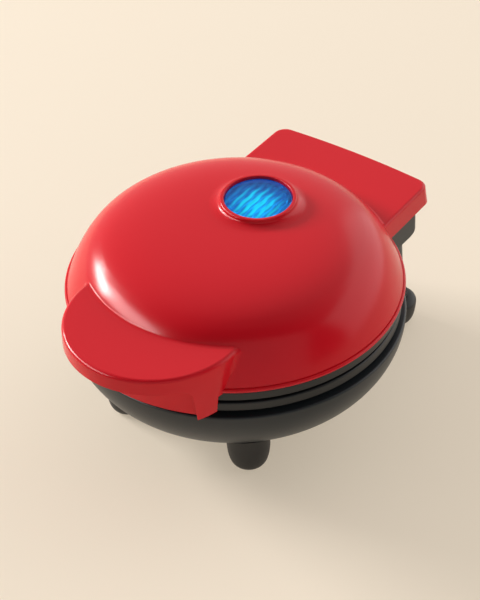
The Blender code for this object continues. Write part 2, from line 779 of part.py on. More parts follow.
def clamp(name, way):
    """Steel bar that presses the heater to its plate, pulled by one screw in the middle."""
    near = (lower_back_height if way < 0 else upper_back_height) + way * (centre_boss_height + seat_gap)
    low, high = sorted((near, near + way * clamp_thickness))
    half_width = clamp_width / 2
    outline = rounded([(side * clamp_half_length, way_y * half_width, lap)
                       for side, way_y in ((-1, -1), (1, -1), (1, 1), (-1, 1))])
    piece = prism(name, outline, 'Z', low, high)
    piece = cut(piece, post('hole', screw_shank_radius + seat_gap, low - overrun, high + overrun))
    return finished(piece, name, steel, 0.4, 1.0, way > 0)


def reflector(name, way):
    """Bright steel dish on the clamp bar, its rim turned towards the plate."""
    near = ((lower_back_height if way < 0 else upper_back_height)
            + way * (centre_boss_height + clamp_thickness + 2 * seat_gap))
    far = near + way * reflector_thickness
    turn_in = near - way * reflector_rim
    hole = screw_shank_radius + seat_gap
    piece = turned(name, [(hole, near), (reflector_radius - reflector_thickness, near),
                          (reflector_radius - reflector_thickness, turn_in), (reflector_radius, turn_in),
                          (reflector_radius, far), (hole, far)], rim_steps // 2, closed=True)
    notch = element_leg_spread + tube_radius + 2 * seat_gap
    low, high = sorted((near - way * lap / 2, near - way * (reflector_rim + overrun)))
    piece = cut(piece, box('notch', (-notch, element_ring_radius + tube_radius, low),
                           (notch, reflector_radius + overrun, high)))
    if way < 0:
        low, high = sorted((near - way * (reflector_rim + overrun), far + way * overrun))
        piece = cut(piece, post('window', thermostat_radius, low, high, (0, -thermostat_reach)))
    return finished(piece, name, bright_steel, 0.25, 1.0, way > 0)


def strap_outline(reach, radius, middle):
    """Strap with round ends that lies along X, both ends at one reach from the middle."""
    right = arc((reach, middle), radius, -90, 90, corner_steps * 2)
    left = arc((-reach, middle), radius, 90, 270, corner_steps * 2)
    return right + left


def thermostat():
    """Disc thermostat that sits against the lower plate, with two ears and two terminal blades."""
    top = lower_back_height - seat_gap
    bottom = top - thermostat_height
    place = (0, -thermostat_reach)
    piece = post('thermostat', thermostat_radius, bottom, top, place, foot_steps)
    ear_top = lower_back_height - thermostat_boss_height - seat_gap
    ear_bottom = ear_top - thermostat_ear_thickness
    ears = [(side * thermostat_ear_reach, -thermostat_reach) for side in (-1, 1)]
    outline = strap_outline(thermostat_ear_reach, thermostat_ear_radius, -thermostat_reach)
    strap = prism('strap', outline, 'Z', ear_bottom, ear_top)
    piece = joined(piece, strap)
    for side in (-1, 1):
        blade_x = side * thermostat_radius / 2
        half = thermostat_blade_width / 2
        blade = box('blade',
                    (blade_x - half, -thermostat_reach - half, bottom - thermostat_blade_length),
                    (blade_x + half, -thermostat_reach + half, bottom + lap))
        piece = joined(piece, blade)
    holes = [post('hole', screw_shank_radius + seat_gap, ear_bottom - overrun, ear_top + overrun, ear)
             for ear in ears]
    finished(cut(piece, *holes), 'thermostat', brown, 0.5)
    for side, ear in zip(('left', 'right'), ears):
        screw('thermostat_screw_' + side, ear_bottom - seat_gap, ear,
              thermostat_screw_length + thermostat_ear_thickness, True, False,
              thermostat_ear_radius - seat_gap)


# Lid shell: red moulding with dome, rim, lamp ring, handle and hinge cover
def dome_outline(inset, steps=curve_steps + 3):
    """Side of the dome from its foot to the middle of its top, moved in by inset."""
    lean = math.radians(dome_side_lean)
    foot = (dome_foot_radius - inset, dome_foot_height)
    side = (foot[0] - dome_side_pull * math.sin(lean), foot[1] + dome_side_pull * math.cos(lean))
    top = dome_top_height - inset
    return bend(foot, side, (dome_crown_pull, top), (0, top), steps)


def dome_radius_at(height, inset=0):
    """Radius of the dome at a height, moved in by inset, or of its foot below that."""
    outline = dome_outline(inset, fine_steps)
    for (near, low), (far, high) in zip(outline, outline[1:]):
        if low <= height <= high:
            return near + (far - near) * (height - low) / (high - low)
    return dome_foot_radius - inset


def handle_ring(height, inset):
    """Plan of the handle at one height: a front arc, and a hollow blend to the dome on both sides."""
    middle = (0, handle_radius - handle_front)
    draft_start = handle_top_height - handle_band
    draft = max(0, draft_start - height) / (draft_start - skirt_bottom) * handle_draft
    radius = handle_radius - draft - inset
    blend = handle_blend + draft + inset
    reach = dome_radius_at(height) + handle_blend
    span = handle_radius + handle_blend
    y = (span * span - reach * reach - middle[1] ** 2) / (-2 * middle[1])
    x = math.sqrt(reach * reach - y * y)
    toward_handle = math.degrees(math.atan2(middle[1] - y, -x))
    toward_dome = math.degrees(math.atan2(-y, -x))
    right = arc((x, y), blend, toward_handle % 360, toward_dome % 360, corner_steps)
    start = math.degrees(math.atan2(y - middle[1], x))
    front = arc(middle, radius, -180 - start, start, handle_steps)
    left = [(-px, py) for px, py in reversed(right)]
    back = right[-1][1] + dome_foot_radius / 4
    ring = left + front[1:-1] + right + [(right[-1][0] / 2, back), (-right[-1][0] / 2, back)]
    return [(px, py, height) for px, py in ring]


def cover_ring(height, inset):
    """Plan of the hinge cover at one height: bowed rear edge, round corners, a little wider at the dome."""
    half = cover_half_width - inset
    rear = cover_rear - inset - cover_bow
    bow_radius = (half * half + cover_bow * cover_bow) / (2 * cover_bow)
    span = math.degrees(math.asin((half - cover_corner) / bow_radius))
    bow = arc((0, rear + cover_bow - bow_radius), bow_radius, 90 - span, 90 + span, bow_steps)
    corner = arc((bow[0][0], bow[0][1] - cover_corner), cover_corner, 0, 75, corner_steps)
    flare = half + cover_flare
    ring = [(-flare, cover_front), (flare, cover_front)] + corner + bow
    ring += [(-x, y) for x, y in reversed(corner)]
    return [(x, y, height) for x, y in ring]


def edge_levels(top, edge):
    """Heights and insets that round an upper edge."""
    return [(top - edge * (1 - math.sin(math.radians(turn))), edge * (1 - math.cos(math.radians(turn))))
            for turn in (0, 30, 60, 90)]


def lid_shell():
    dome = turned('dome', [(0, lid_edge_height), (lid_radius, lid_edge_height),
                           (lid_radius, lid_edge_height + lid_rim_height),
                           (dome_foot_radius, dome_foot_height)]
                  + dome_outline(0)[1:], rim_steps)

    levels = [(skirt_bottom, 0), (handle_top_height - handle_band, 0)]
    levels += edge_levels(handle_top_height, handle_edge)
    handle = stacked('handle', [handle_ring(height, inset) for height, inset in levels])

    cover_top = cover_bottom_height + cover_height
    levels = [(cover_bottom_height, 0)]
    levels += [(height, inset + cover_draft) for height, inset in edge_levels(cover_top, cover_edge)]
    cover = stacked('cover', [cover_ring(height, inset) for height, inset in levels])

    collar_foot = dome_top_height - lens_flare_drop
    hole = lens_radius + seat_gap
    ring_edge = (lens_ring_radius - hole) / 3
    collar_bottom = collar_foot - lid_wall
    flare = bend((lens_flare_radius, collar_foot), (lens_ring_radius + lap, collar_foot + lap / 2),
                 (lens_ring_radius, collar_foot + lap), (lens_ring_radius, lens_ring_top - ring_edge),
                 corner_steps)
    collar = turned('collar', [(hole - lap, collar_bottom), (lens_flare_radius, collar_bottom)] + flare
                    + [(lens_ring_radius - ring_edge, lens_ring_top), (hole - lap, lens_ring_top)],
                    rim_steps // 2, (0, lens_reach), closed=True)
    shell = joined(dome, handle, cover, collar)

    # Inside of the dome, and the room that the plates and the bowl take inside the handle's skirt
    hollow = turned('hollow', [(0, skirt_bottom - overrun), (skirt_inner, skirt_bottom - overrun),
                               (skirt_inner, lid_edge_height), (dome_foot_radius - lid_wall, lid_edge_height)]
                    + dome_outline(lid_wall), rim_steps)
    shell = cut(shell, hollow)

    # Inside of the hinge cover, open below and towards the dome
    cavity = []
    side = cover_half_width - cover_side_wall
    corner = cover_corner - cover_side_wall
    for height, inset in ((lid_edge_height - overrun, 0), (cover_bottom_height, 0),
                          (cover_top - cover_side_wall, cover_draft)):
        half = side - inset
        rear = cover_rear - cover_bow - cover_side_wall - inset
        outline = rounded([(-half, cover_cavity_front, 0), (half, cover_cavity_front, 0),
                           (half, rear, corner), (-half, rear, corner)])
        cavity.append([(x, y, height) for x, y in outline])
    shell = cut(shell, stacked('cavity', cavity))

    # Finger recess under the handle: open front, and a pocket behind the band
    skirt_outer = skirt_inner + skirt_wall
    band_bottom = handle_top_height - handle_band
    front = prism('front', rounded([(-recess_half_width, skirt_bottom - overrun, 0),
                                    (recess_half_width, skirt_bottom - overrun, 0),
                                    (recess_half_width, band_bottom, recess_corner),
                                    (-recess_half_width, band_bottom, recess_corner)]),
                  'Y', -handle_front - overrun, -skirt_outer / 2)
    pocket = stacked('pocket', [[(x, y, height) for x, y, _ in handle_ring(band_bottom, handle_wall)]
                                for height in (band_bottom - lap, handle_top_height - handle_wall)])
    span = box('span', (-recess_half_width, -handle_front, band_bottom - overrun),
               (recess_half_width, 0, handle_top_height))
    front = joined(front, worked(pocket, 'INTERSECT', span))
    front = cut(front, post('skirt', skirt_outer, skirt_bottom - 2 * overrun, handle_top_height + overrun,
                            steps=rim_steps))
    shell = cut(shell, front)

    # Ears of the handle end short beside the plates
    for way in (-1, 1):
        low, high = sorted((way * ear_half_width, way * (ear_half_width + handle_radius)))
        shell = cut(shell, box('ear', (low, -handle_front, skirt_bottom - overrun),
                               (high, -skirt_inner / 2, lid_edge_height)))

    # Hole for the lens, and posts for the lamp housing
    posts = [post('lamp_post', lamp_post_radius, lamp_ear_height + seat_gap,
                  dome_top_height - lid_wall / 2, place) for place in lamp_post_places]
    shell = joined(shell, *posts)
    holes = [post('lens_hole', hole, lens_flange_top - overrun, lens_ring_top + overrun,
                  (0, lens_reach), rim_steps // 2)]
    pilot_top = lamp_ear_height + lamp_screw_length - housing_ear_thickness
    holes += [post('pilot', screw_shank_radius + seat_gap, lamp_ear_height - overrun, pilot_top, place)
              for place in lamp_post_places]
    shell = cut(shell, *holes)
    return finished(shell, 'lid_shell', red, 0.18, on_lid=True)


def indicator_lens():
    """Clear blue cap with seven ribs under its face and a flange that stays under the dome."""
    top = lens_ring_top - lens_sink - lens_crown
    roof = top - lens_wall
    inner = lens_radius - lens_wall
    piece = turned('lens', [(0, roof), (inner, roof), (inner, lens_flange_bottom),
                            (lens_flange_radius, lens_flange_bottom), (lens_flange_radius, lens_flange_top),
                            (lens_radius, lens_flange_top), (lens_radius, top)]
                   + bend((lens_radius, top), (lens_radius * 2 / 3, top + lens_crown),
                          (lens_radius / 3, top + lens_crown), (0, top + lens_crown), corner_steps)[1:],
                   rim_steps // 2, (0, lens_reach))
    for rib in range(lens_rib_count):
        x = (rib - (lens_rib_count - 1) / 2) * lens_rib_pitch
        half = math.sqrt(inner ** 2 - x * x)
        piece = joined(piece, box('rib', (x - lens_rib_width / 2, lens_reach - half, roof - lens_rib_depth),
                                  (x + lens_rib_width / 2, lens_reach + half, roof + lens_wall / 2)))
    return finished(piece, 'indicator_lens', lens_blue, 0.08, on_lid=True)


def lamp_parts():
    """White housing screwed under the lens, the board on its floor and the lamp on the board."""
    top = lens_flange_bottom - seat_gap
    floor = top - housing_depth
    outer = lens_flange_radius
    inner = outer - housing_wall
    ear_top = lamp_ear_height
    ear_bottom = ear_top - housing_ear_thickness
    housing = post('housing', outer, floor, top, (0, lens_reach), rim_steps // 2)
    strap = prism('strap', strap_outline(housing_ear_reach, housing_ear_radius, lens_reach), 'Z',
                  ear_bottom, ear_top)
    holes = [post('hole', screw_shank_radius + seat_gap, ear_bottom - overrun, ear_top + overrun, place)
             for place in lamp_post_places]
    lead_half = lead_radius + seat_gap
    lead_hole = box('lead_hole',
                    (lead_hole_reach - lead_half, lens_reach, floor + housing_wall + board_gap),
                    (lead_hole_reach + lead_half, lens_reach + outer + overrun, top + overrun))
    inside = post('inside', inner, floor + housing_wall, top + overrun, (0, lens_reach), rim_steps // 2)
    housing = cut(joined(housing, strap), inside, lead_hole, *holes)
    finished(housing, 'lamp_housing', white, 0.5, on_lid=True)
    for side, place in zip(('left', 'right'), lamp_post_places):
        screw('lamp_screw_' + side, ear_bottom - seat_gap, place, lamp_screw_length, True, True)
    board_bottom = floor + housing_wall + seat_gap
    board_top = board_bottom + board_thickness
    board = box('board', (-board_length / 2, lens_reach - board_width / 2, board_bottom),
                (board_length / 2, lens_reach + board_width / 2, board_top))
    finished(board, 'lamp_board', board_green, 0.4, on_lid=True)
    base = board_top + seat_gap
    lamp = turned('lamp', [(0, base), (lamp_base_radius, base), (lamp_base_radius, base + lamp_base_height),
                           (lamp_radius, base + lamp_base_height)]
                  + bend((lamp_radius, base + lamp_base_height), (lamp_radius, base + lamp_height),
                         (lamp_radius / 2, base + lamp_height), (0, base + lamp_height), corner_steps)[1:],
                  small_steps, (0, lens_reach))
    finished(lamp, 'indicator_lamp', lamp_glass, 0.15, on_lid=True)


def lid_carrier():
    """Ring on the back of the upper plate, with the two arms that reach back to the hinge axis."""
    foot_low = upper_land_height + plate_flange + seat_gap
    foot_top = foot_low + carrier_foot
    top = foot_low + carrier_height
    foot_inner = cavity_radius + plate_floor + swing_gap
    foot_outer = plate_radius - plate_lip_width - swing_gap
    top_outer = dome_radius_at(top, lid_wall) - swing_gap
    wall_inner = foot_outer - carrier_wall
    ring = turned('ring', [(foot_inner, foot_low), (foot_outer, foot_low), (foot_outer, foot_top),
                           (top_outer, top), (top_outer - carrier_wall, top), (wall_inner, foot_top),
                           (foot_inner, foot_top)], rim_steps, closed=True)
    bar = arm_boss_radius
    under = upper_lip_height + seat_gap
    profile = rounded([(foot_inner - lap, under, 0), (arm_drop_reach, under, 0),
                       (arm_drop_reach, hinge_height + lap, 0),
                       (hinge_reach - bar, hinge_height - bar, bar / 2),
                       (hinge_reach + bar, hinge_height - bar, bar - lap / 4),
                       (hinge_reach + bar, hinge_height + bar, bar - lap / 4),
                       (hinge_reach - bar, hinge_height + bar + lap, 0), (arm_drop_reach, top - lap, lap),
                       (foot_inner - lap, top - lap, 0)])
    arms = [prism('arm', profile, 'X', *sorted((side * arm_inner, side * (arm_inner + arm_width))))
            for side in (-1, 1)]
    arms = [cut(arm, post('inside', wall_inner - lap, foot_low - overrun, top + overrun, steps=rim_steps))
            for arm in arms]
    notch = box('notch', (-carrier_notch_half_width, foot_inner - overrun, foot_top + seat_gap),
                (carrier_notch_half_width, foot_outer + overrun, top + overrun))
    carrier = joined(cut(ring, notch), *arms)
    pin_hole = crosswise(post('pin_hole', hinge_pin_radius + seat_gap, -block_half_width, block_half_width))
    holes = [moved(pin_hole, (0, hinge_reach, hinge_height))]
    holes += [post('hole', carrier_screw_shank_radius + seat_gap, foot_low - overrun, foot_top + overrun,
                   round_about(angle, carrier_screw_reach)) for angle in carrier_screw_angles]
    finished(cut(carrier, *holes), 'lid_carrier', brown, 0.5, on_lid=True)
    for number, angle in enumerate(carrier_screw_angles, 1):
        screw('upper_plate_screw_%d' % number, foot_top + seat_gap, round_about(angle, carrier_screw_reach),
              carrier_screw_length, False, True, carrier_screw_head_radius, carrier_screw_shank_radius)


def hinge_pins():
    for name, side in (('hinge_pin_left', -1), ('hinge_pin_right', 1)):
        inner = side * (arm_inner + seat_gap)
        outer = side * (block_half_width - cheek_width + hinge_pin_bite)
        pin = crosswise(post(name, hinge_pin_radius, *sorted((inner, outer))))
        finished(moved(pin, (0, hinge_reach, hinge_height)), name, steel, 0.3, 1.0, True)


def thermal_fuse():
    """Fuse in its sleeve on the upper reflector, held by an arched clip."""
    seat = upper_back_height + centre_boss_height + clamp_thickness + 3 * seat_gap + reflector_thickness
    height = seat + fuse_radius
    fuse = crosswise(post('fuse', fuse_radius, -fuse_length / 2, fuse_length / 2))
    finished(moved(fuse, (0, -fuse_reach, height)), 'thermal_fuse', white, 0.6, on_lid=True)
    inner = fuse_radius + seat_gap
    outer = inner + fuse_clip_wall
    arch = arc((-fuse_reach, height), outer, 180, 0, clip_steps)
    arch_under = arc((-fuse_reach, height), inner, 0, 180, clip_steps)
    shin = seat + fuse_clip_wall
    outline = ([(-fuse_reach - outer - fuse_clip_foot, seat), (-fuse_reach - outer - fuse_clip_foot, shin),
                (-fuse_reach - outer, shin)] + arch
               + [(-fuse_reach + outer, shin), (-fuse_reach + outer + fuse_clip_foot, shin),
                  (-fuse_reach + outer + fuse_clip_foot, seat), (-fuse_reach + inner, seat)] + arch_under
               + [(-fuse_reach - inner, seat)])
    clip = prism('clip', outline, 'X', -fuse_clip_width / 2, fuse_clip_width / 2)
    finished(clip, 'fuse_clip', steel, 0.35, 1.0, True)


def terminal_block():
    """Block with a ridge at each end, on a pad in the neck of the base."""
    low = neck_bottom_height + base_wall + block_pad_height + seat_gap
    high = low + terminal_height
    front = terminal_reach - terminal_depth / 2
    rear = terminal_reach + terminal_depth / 2
    piece = box('terminal_block', (-terminal_length / 2, front, low), (terminal_length / 2, rear, high))
    for side in (-1, 1):
        inner, outer = sorted((side * (terminal_length / 2 - terminal_ridge), side * terminal_length / 2))
        piece = joined(piece, box('ridge', (inner, front, high - lap), (outer, rear, high + terminal_ridge)))
    piece = cut(piece, post('hole', screw_shank_radius + seat_gap, low - overrun, high + overrun,
                            (0, terminal_reach)))
    finished(piece, 'terminal_block', white, 0.5)
    screw('terminal_block_screw', high + seat_gap, (0, terminal_reach), terminal_screw_length, False, False)


def cord_inlet():
    """Bushing in the rear wall of the neck; no cord is fitted."""
    seat = neck_rear_at(inlet_height - inlet_flange_radius) + seat_gap
    front = seat - inlet_sleeve_length
    back = seat + inlet_flange_thickness
    piece = turned('inlet', [(inlet_bore_radius, front), (inlet_sleeve_radius, front),
                             (inlet_sleeve_radius, seat),
                             (inlet_flange_radius, seat), (inlet_flange_radius, back - lap / 2),
                             (inlet_flange_radius - lap / 2, back), (inlet_bore_radius, back)],
                   foot_steps, closed=True)
    return finished(moved(lying(piece), (0, 0, inlet_height)), 'cord_inlet_bushing', black, 0.55)


def smooth(points, steps=2):
    """Points of one smooth curve through all the given points."""
    route = []
    ends = [points[0]] + points + [points[-1]]
    for before, start, end, after in zip(ends, ends[1:], ends[2:], ends[3:]):
        for step in range(steps):
            t = step / steps
            route.append(tuple((2 * q + (r - p) * t + (2 * p - 5 * q + 4 * r - s) * t * t
                                + (3 * q - p - 3 * r + s) * t ** 3) / 2
                               for p, q, r, s in zip(before, start, end, after)))
    route.append(points[-1])
    return route


# Internal leads: silicone wires, and a woven sleeve that carries two of them through the hinge.
# The sleeve is in two lengths that meet on the hinge axis. Each route is in millimetres.
lead_routes = {
    'supply_lead': (lead_radius, False, [
        (5.5, 57.7, 21.7), (6.2, 54.5, 21.2), (9.0, 49.0, 20.6), (10.4, 42.0, 18.2), (10.0, 32.0, 16.0),
        (8.5, 16.0, 15.2), (5.5, 0.0, 15.6), (3.6, -10.0, 17.0), (3.3, -15.0, 19.6), (3.25, -16.0, 23.9)]),
    'thermostat_lead': (lead_radius, False, [
        (-3.25, -16.0, 23.9), (-3.3, -15.0, 19.6), (-4.5, -9.0, 16.6), (-8.5, 4.0, 15.2),
        (-11.5, 20.0, 15.4), (-12.0, 36.0, 17.0), (-12.0, 45.0, 21.5), (-11.6, 50.0, 27.0),
        (-9.4, 51.4, 30.4), (-7.3, 49.4, 30.95), (-7.3, 46.3, 30.95)]),
    'lower_element_lead': (lead_radius, False, [
        (7.3, 46.3, 30.95), (7.3, 49.6, 30.9), (5.6, 53.6, 30.4), (0.5, 55.2, 29.6), (-3.8, 55.0, 27.6),
        (-5.4, 54.4, 24.2), (-5.5, 55.4, 22.0), (-5.5, 57.7, 21.7)]),
    'hinge_sleeve_base': (sleeve_radius, False, [
        (-0.15, 70.0, 45.5), (-3.6, 70.0, 45.5), (-7.2, 68.8, 44.4), (-9.2, 66.6, 40.6), (-8.6, 65.4, 35.0),
        (-6.6, 63.6, 30.6), (-5.8, 62.2, 28.6), (-5.7, 62.0, 26.1)]),
    'hinge_sleeve_lid': (sleeve_radius, True, [
        (0.15, 70.0, 45.5), (3.6, 70.0, 45.5), (7.4, 69.2, 45.9), (9.6, 66.6, 47.2), (10.2, 64.4, 49.4),
        (10.4, 62.2, 52.4), (10.5, 59.6, 54.4), (10.5, 56.4, 55.4), (10.5, 53.8, 57.4)]),
    'upper_return_lead': (lead_radius, True, [
        (9.3, 53.4, 58.0), (8.6, 52.2, 59.3), (7.6, 49.6, 60.1), (7.3, 46.3, 60.05)]),
    'fuse_lead': (lead_radius, True, [
        (11.7, 53.4, 58.0), (12.4, 51.2, 60.4), (14.4, 46.0, 64.4), (18.6, 38.6, 67.4), (24.0, 28.0, 68.0),
        (26.4, 15.0, 68.0), (23.4, 1.0, 68.2), (15.4, -10.0, 68.4), (10.6, -13.6, 68.3), (7.8, -14.0, 68.3)]),
    'upper_element_lead': (lead_radius, True, [
        (-7.8, -14.0, 68.3), (-10.6, -13.6, 68.3), (-15.4, -10.0, 68.4), (-23.4, 1.0, 68.2),
        (-26.4, 15.0, 68.0), (-24.0, 28.0, 68.0), (-18.6, 38.6, 67.2), (-14.4, 46.0, 64.4),
        (-11.2, 50.4, 61.4), (-8.4, 50.6, 60.2), (-7.3, 48.6, 60.05), (-7.3, 46.3, 60.05)]),
    'lamp_lead': (lead_radius, True, [
        (6.0, 22.5, 72.2), (6.0, 26.0, 72.2), (6.1, 32.0, 71.9), (6.6, 38.6, 70.2), (7.2, 43.0, 66.4),
        (7.3, 43.5, 61.65)]),
}


def leads():
    for name, (radius, on_lid, points) in lead_routes.items():
        route = smooth([tuple(value * mm for value in point) for point in points])
        colour = sleeve_grey if radius > lead_radius else white
        finished(tube(name, route, radius), name, colour, 0.7, 0.0, on_lid)


# Places and heights that several pieces share
handle_top_height = lid_edge_height + handle_top_rise
skirt_bottom = lid_edge_height - skirt_drop
cover_bottom_height = lid_edge_height + cover_bottom_rise
lens_ring_top = dome_top_height + lens_ring_rise
lens_flange_bottom = lens_ring_top - lens_depth
lens_flange_top = lens_flange_bottom + lens_flange_thickness
lamp_post_places = [(side * housing_ear_reach, lens_reach) for side in (-1, 1)]
lamp_ear_height = lens_flange_bottom - seat_gap - lap / 2
plate_boss_bottom = lower_back_height - plate_boss_height
post_head_height = bowl_bottom_height + post_screw_depth
foot_places = [(x, y) for y in (-front_foot_reach, rear_foot_reach) for x in (-foot_spread, foot_spread)]

for old in list(bpy.data.objects):
    bpy.data.objects.remove(old, do_unlink=True)
hinge_axis = bpy.data.objects.new('hinge_axis', None)
hinge_axis.location = (0, hinge_reach, hinge_height)
bpy.context.scene.collection.objects.link(hinge_axis)

base_shell()
foot_names = ('foot_front_left', 'foot_front_right', 'foot_rear_left', 'foot_rear_right')
for name, (x, y) in zip(foot_names, foot_places):
    foot(name, x, y)
plate('lower_plate', -1)
plate('upper_plate', 1)
for name, way in (('lower', -1), ('upper', 1)):
    element(name + '_heating_element', way)
    clamp(name + '_element_clamp', way)
    reflector(name + '_heat_reflector', way)
    back = lower_back_height if way < 0 else upper_back_height
    stack = centre_boss_height + clamp_thickness + reflector_thickness + 3 * seat_gap
    screw(name + '_clamp_screw', back + way * stack, (0, 0), clamp_screw_length, way < 0, way > 0)
for number, angle in enumerate(plate_post_angles, 1):
    screw('lower_plate_screw_%d' % number, post_head_height - seat_gap, round_about(angle, plate_post_reach),
          plate_boss_bottom + plate_boss_height - lap - post_head_height, True, False)
thermostat()
lid_shell()
indicator_lens()
lamp_parts()
lid_carrier()
hinge_pins()
thermal_fuse()
terminal_block()
cord_inlet()
leads()
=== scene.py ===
import json
import math

import bmesh
import bpy
import numpy as np
from mathutils import Matrix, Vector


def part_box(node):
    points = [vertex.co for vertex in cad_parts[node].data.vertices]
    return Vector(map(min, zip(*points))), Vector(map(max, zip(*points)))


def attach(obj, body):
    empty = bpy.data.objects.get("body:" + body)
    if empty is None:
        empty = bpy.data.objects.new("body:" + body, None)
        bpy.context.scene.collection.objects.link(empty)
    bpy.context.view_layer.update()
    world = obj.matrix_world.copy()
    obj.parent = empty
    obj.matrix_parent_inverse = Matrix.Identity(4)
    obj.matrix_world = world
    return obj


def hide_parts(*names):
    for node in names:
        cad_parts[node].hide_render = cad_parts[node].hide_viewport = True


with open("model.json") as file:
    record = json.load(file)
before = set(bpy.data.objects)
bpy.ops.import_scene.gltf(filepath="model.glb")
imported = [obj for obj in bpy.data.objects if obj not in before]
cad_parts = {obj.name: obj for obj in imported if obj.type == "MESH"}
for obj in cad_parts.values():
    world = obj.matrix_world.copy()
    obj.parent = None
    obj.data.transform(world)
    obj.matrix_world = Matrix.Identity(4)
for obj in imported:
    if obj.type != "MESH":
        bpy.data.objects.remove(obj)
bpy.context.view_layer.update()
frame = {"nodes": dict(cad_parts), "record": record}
nodes = frame["nodes"]
mm = 0.001
seat_gap = 0.3 * mm     # air between two pieces that touch
overrun = 4.0 * mm      # how far a cutter passes its wall
lap = 1.0 * mm          # how far a boss or a rib sinks into its own wall
turn_steps = 192        # points once round a large piece


# Feet: four black rubber cups, pressed on stubs under the base.
# The front two run up to the round of the bowl, and the rear two close with a soft shoulder.
foot_sole_radius = 4.2 * mm
foot_sole_pull = 1.6 * mm        # how far the sole runs flat before it turns up
foot_side_lean = 0.4 * mm        # the side curves down towards a point this far in
foot_side_drop = 1.6 * mm        # and this high
foot_bore_radius = 3.3 * mm
foot_bore_height = 4.9 * mm
foot_widest_height = 9.0 * mm
foot_shoulder_radius = 4.6 * mm
foot_shoulder_height = 11.2 * mm
foot_edge = 0.5 * mm
foot_steps = 96

bowl_radius = -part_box("base_shell")[0].x
bowl_rim_height = 39.4 * mm
bowl_bottom_height = 9.4 * mm
bowl_flat_radius = 30.0 * mm
bowl_side_pull = 14.0 * mm      # how long the side stays upright before it curves in
bowl_floor_pull = 20.0 * mm
curve_steps = 30


def bend(start, start_pull, end_pull, end, steps=curve_steps):
    """Cubic curve: the four points weighted by the Bernstein terms of t, which runs from 0 to 1."""
    t = np.linspace(0, 1, steps + 1)[:, None]
    points = [np.asarray(point, float) for point in (start, start_pull, end_pull, end)]
    weights = ((1 - t) ** 3, 3 * (1 - t) ** 2 * t, 3 * (1 - t) * t ** 2, t ** 3)
    return sum(weight * point for weight, point in zip(weights, points))


def arc(middle, radius, first, last, steps):
    """Circle round middle: radius times the cosine and sine of angles from first to last, in degrees."""
    angle = np.radians(np.linspace(first, last, steps + 1))[:, None]
    return np.asarray(middle) + radius * np.hstack((np.cos(angle), np.sin(angle)))


def full_turn(steps=turn_steps):
    """Angles once round in even steps, from 0 to one step short of it again."""
    return np.arange(steps) * math.tau / steps


def turned_grid(profile, middle=(0.0, 0.0), steps=turn_steps):
    """Each (radius, height) of a profile carried once round: x is radius cos a and y is radius sin a."""
    angle = full_turn(steps)
    profile = np.asarray(profile, float)
    radius = profile[:, :1]
    height = np.repeat(profile[:, 1:], steps, axis=1)
    return np.stack((middle[0] + radius * np.cos(angle), middle[1] + radius * np.sin(angle), height),
                    axis=-1)


def new_piece(name, points, faces):
    """Object at the origin with a mesh of these points and faces."""
    mesh = bpy.data.meshes.new(name)
    mesh.from_pydata(points, [], faces)
    piece = bpy.data.objects.new(name, mesh)
    bpy.context.scene.collection.objects.link(piece)
    return piece


def solid(name, grid, loop=False, caps=False):
    """Closed mesh of a grid of points, rows by columns, or of several such grids.

    Point (i, j) makes a face with (i, j + 1), (i + 1, j + 1) and (i + 1, j), and every row closes on
    itself. loop joins the last row to the first, and caps closes both with a flat face.
    """
    grid = np.asarray(grid, float)
    grid = grid.reshape((-1,) + grid.shape[-3:])
    copies, rows, columns, _ = grid.shape
    index = np.arange(copies * rows * columns).reshape(copies, rows, columns)
    ahead = np.roll(index, -1, axis=2)
    above = np.roll(index, -1, axis=1)
    above_ahead = np.roll(ahead, -1, axis=1)
    last = rows if loop else rows - 1
    quads = np.stack((index, ahead, above_ahead, above), axis=-1)[:, :last].reshape(-1, 4)
    faces = quads.tolist()
    if caps:
        faces += index[:, 0, ::-1].tolist() + index[:, -1].tolist()
    piece = new_piece(name, grid.reshape(-1, 3).tolist(), faces)
    tidied(piece.data)
    return piece


def tidied(mesh):
    """Merge the points that lie on each other and turn every face outwards."""
    shape = bmesh.new()
    shape.from_mesh(mesh)
    bmesh.ops.remove_doubles(shape, verts=shape.verts, dist=0.0005 * mm)
    bmesh.ops.dissolve_degenerate(shape, edges=shape.edges, dist=0.0001 * mm)
    bmesh.ops.recalc_face_normals(shape, faces=shape.faces)
    shape.to_mesh(mesh)
    shape.free()


def bowl_outline(inset, steps=curve_steps):
    """Side of the bowl from its rim to its flat bottom, moved in by inset."""
    return bend((bowl_radius - inset, bowl_rim_height),
                (bowl_radius - inset, bowl_rim_height - bowl_side_pull),
                (bowl_flat_radius + bowl_floor_pull, bowl_bottom_height + inset),
                (bowl_flat_radius, bowl_bottom_height + inset), steps)


def bowl_underside(x, y, inset):
    """Height of the bowl over a place, read off its outline at that radius."""
    outline = bowl_outline(inset, 10 * curve_steps)[::-1]
    return np.interp(np.hypot(x, y), outline[:, 0], outline[:, 1])


def foot_place(node):
    """Middle and radius of a foot, from its solid's box."""
    low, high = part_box(node)
    return ((low.x + high.x) / 2, (low.y + high.y) / 2), (high.x - low.x) / 2


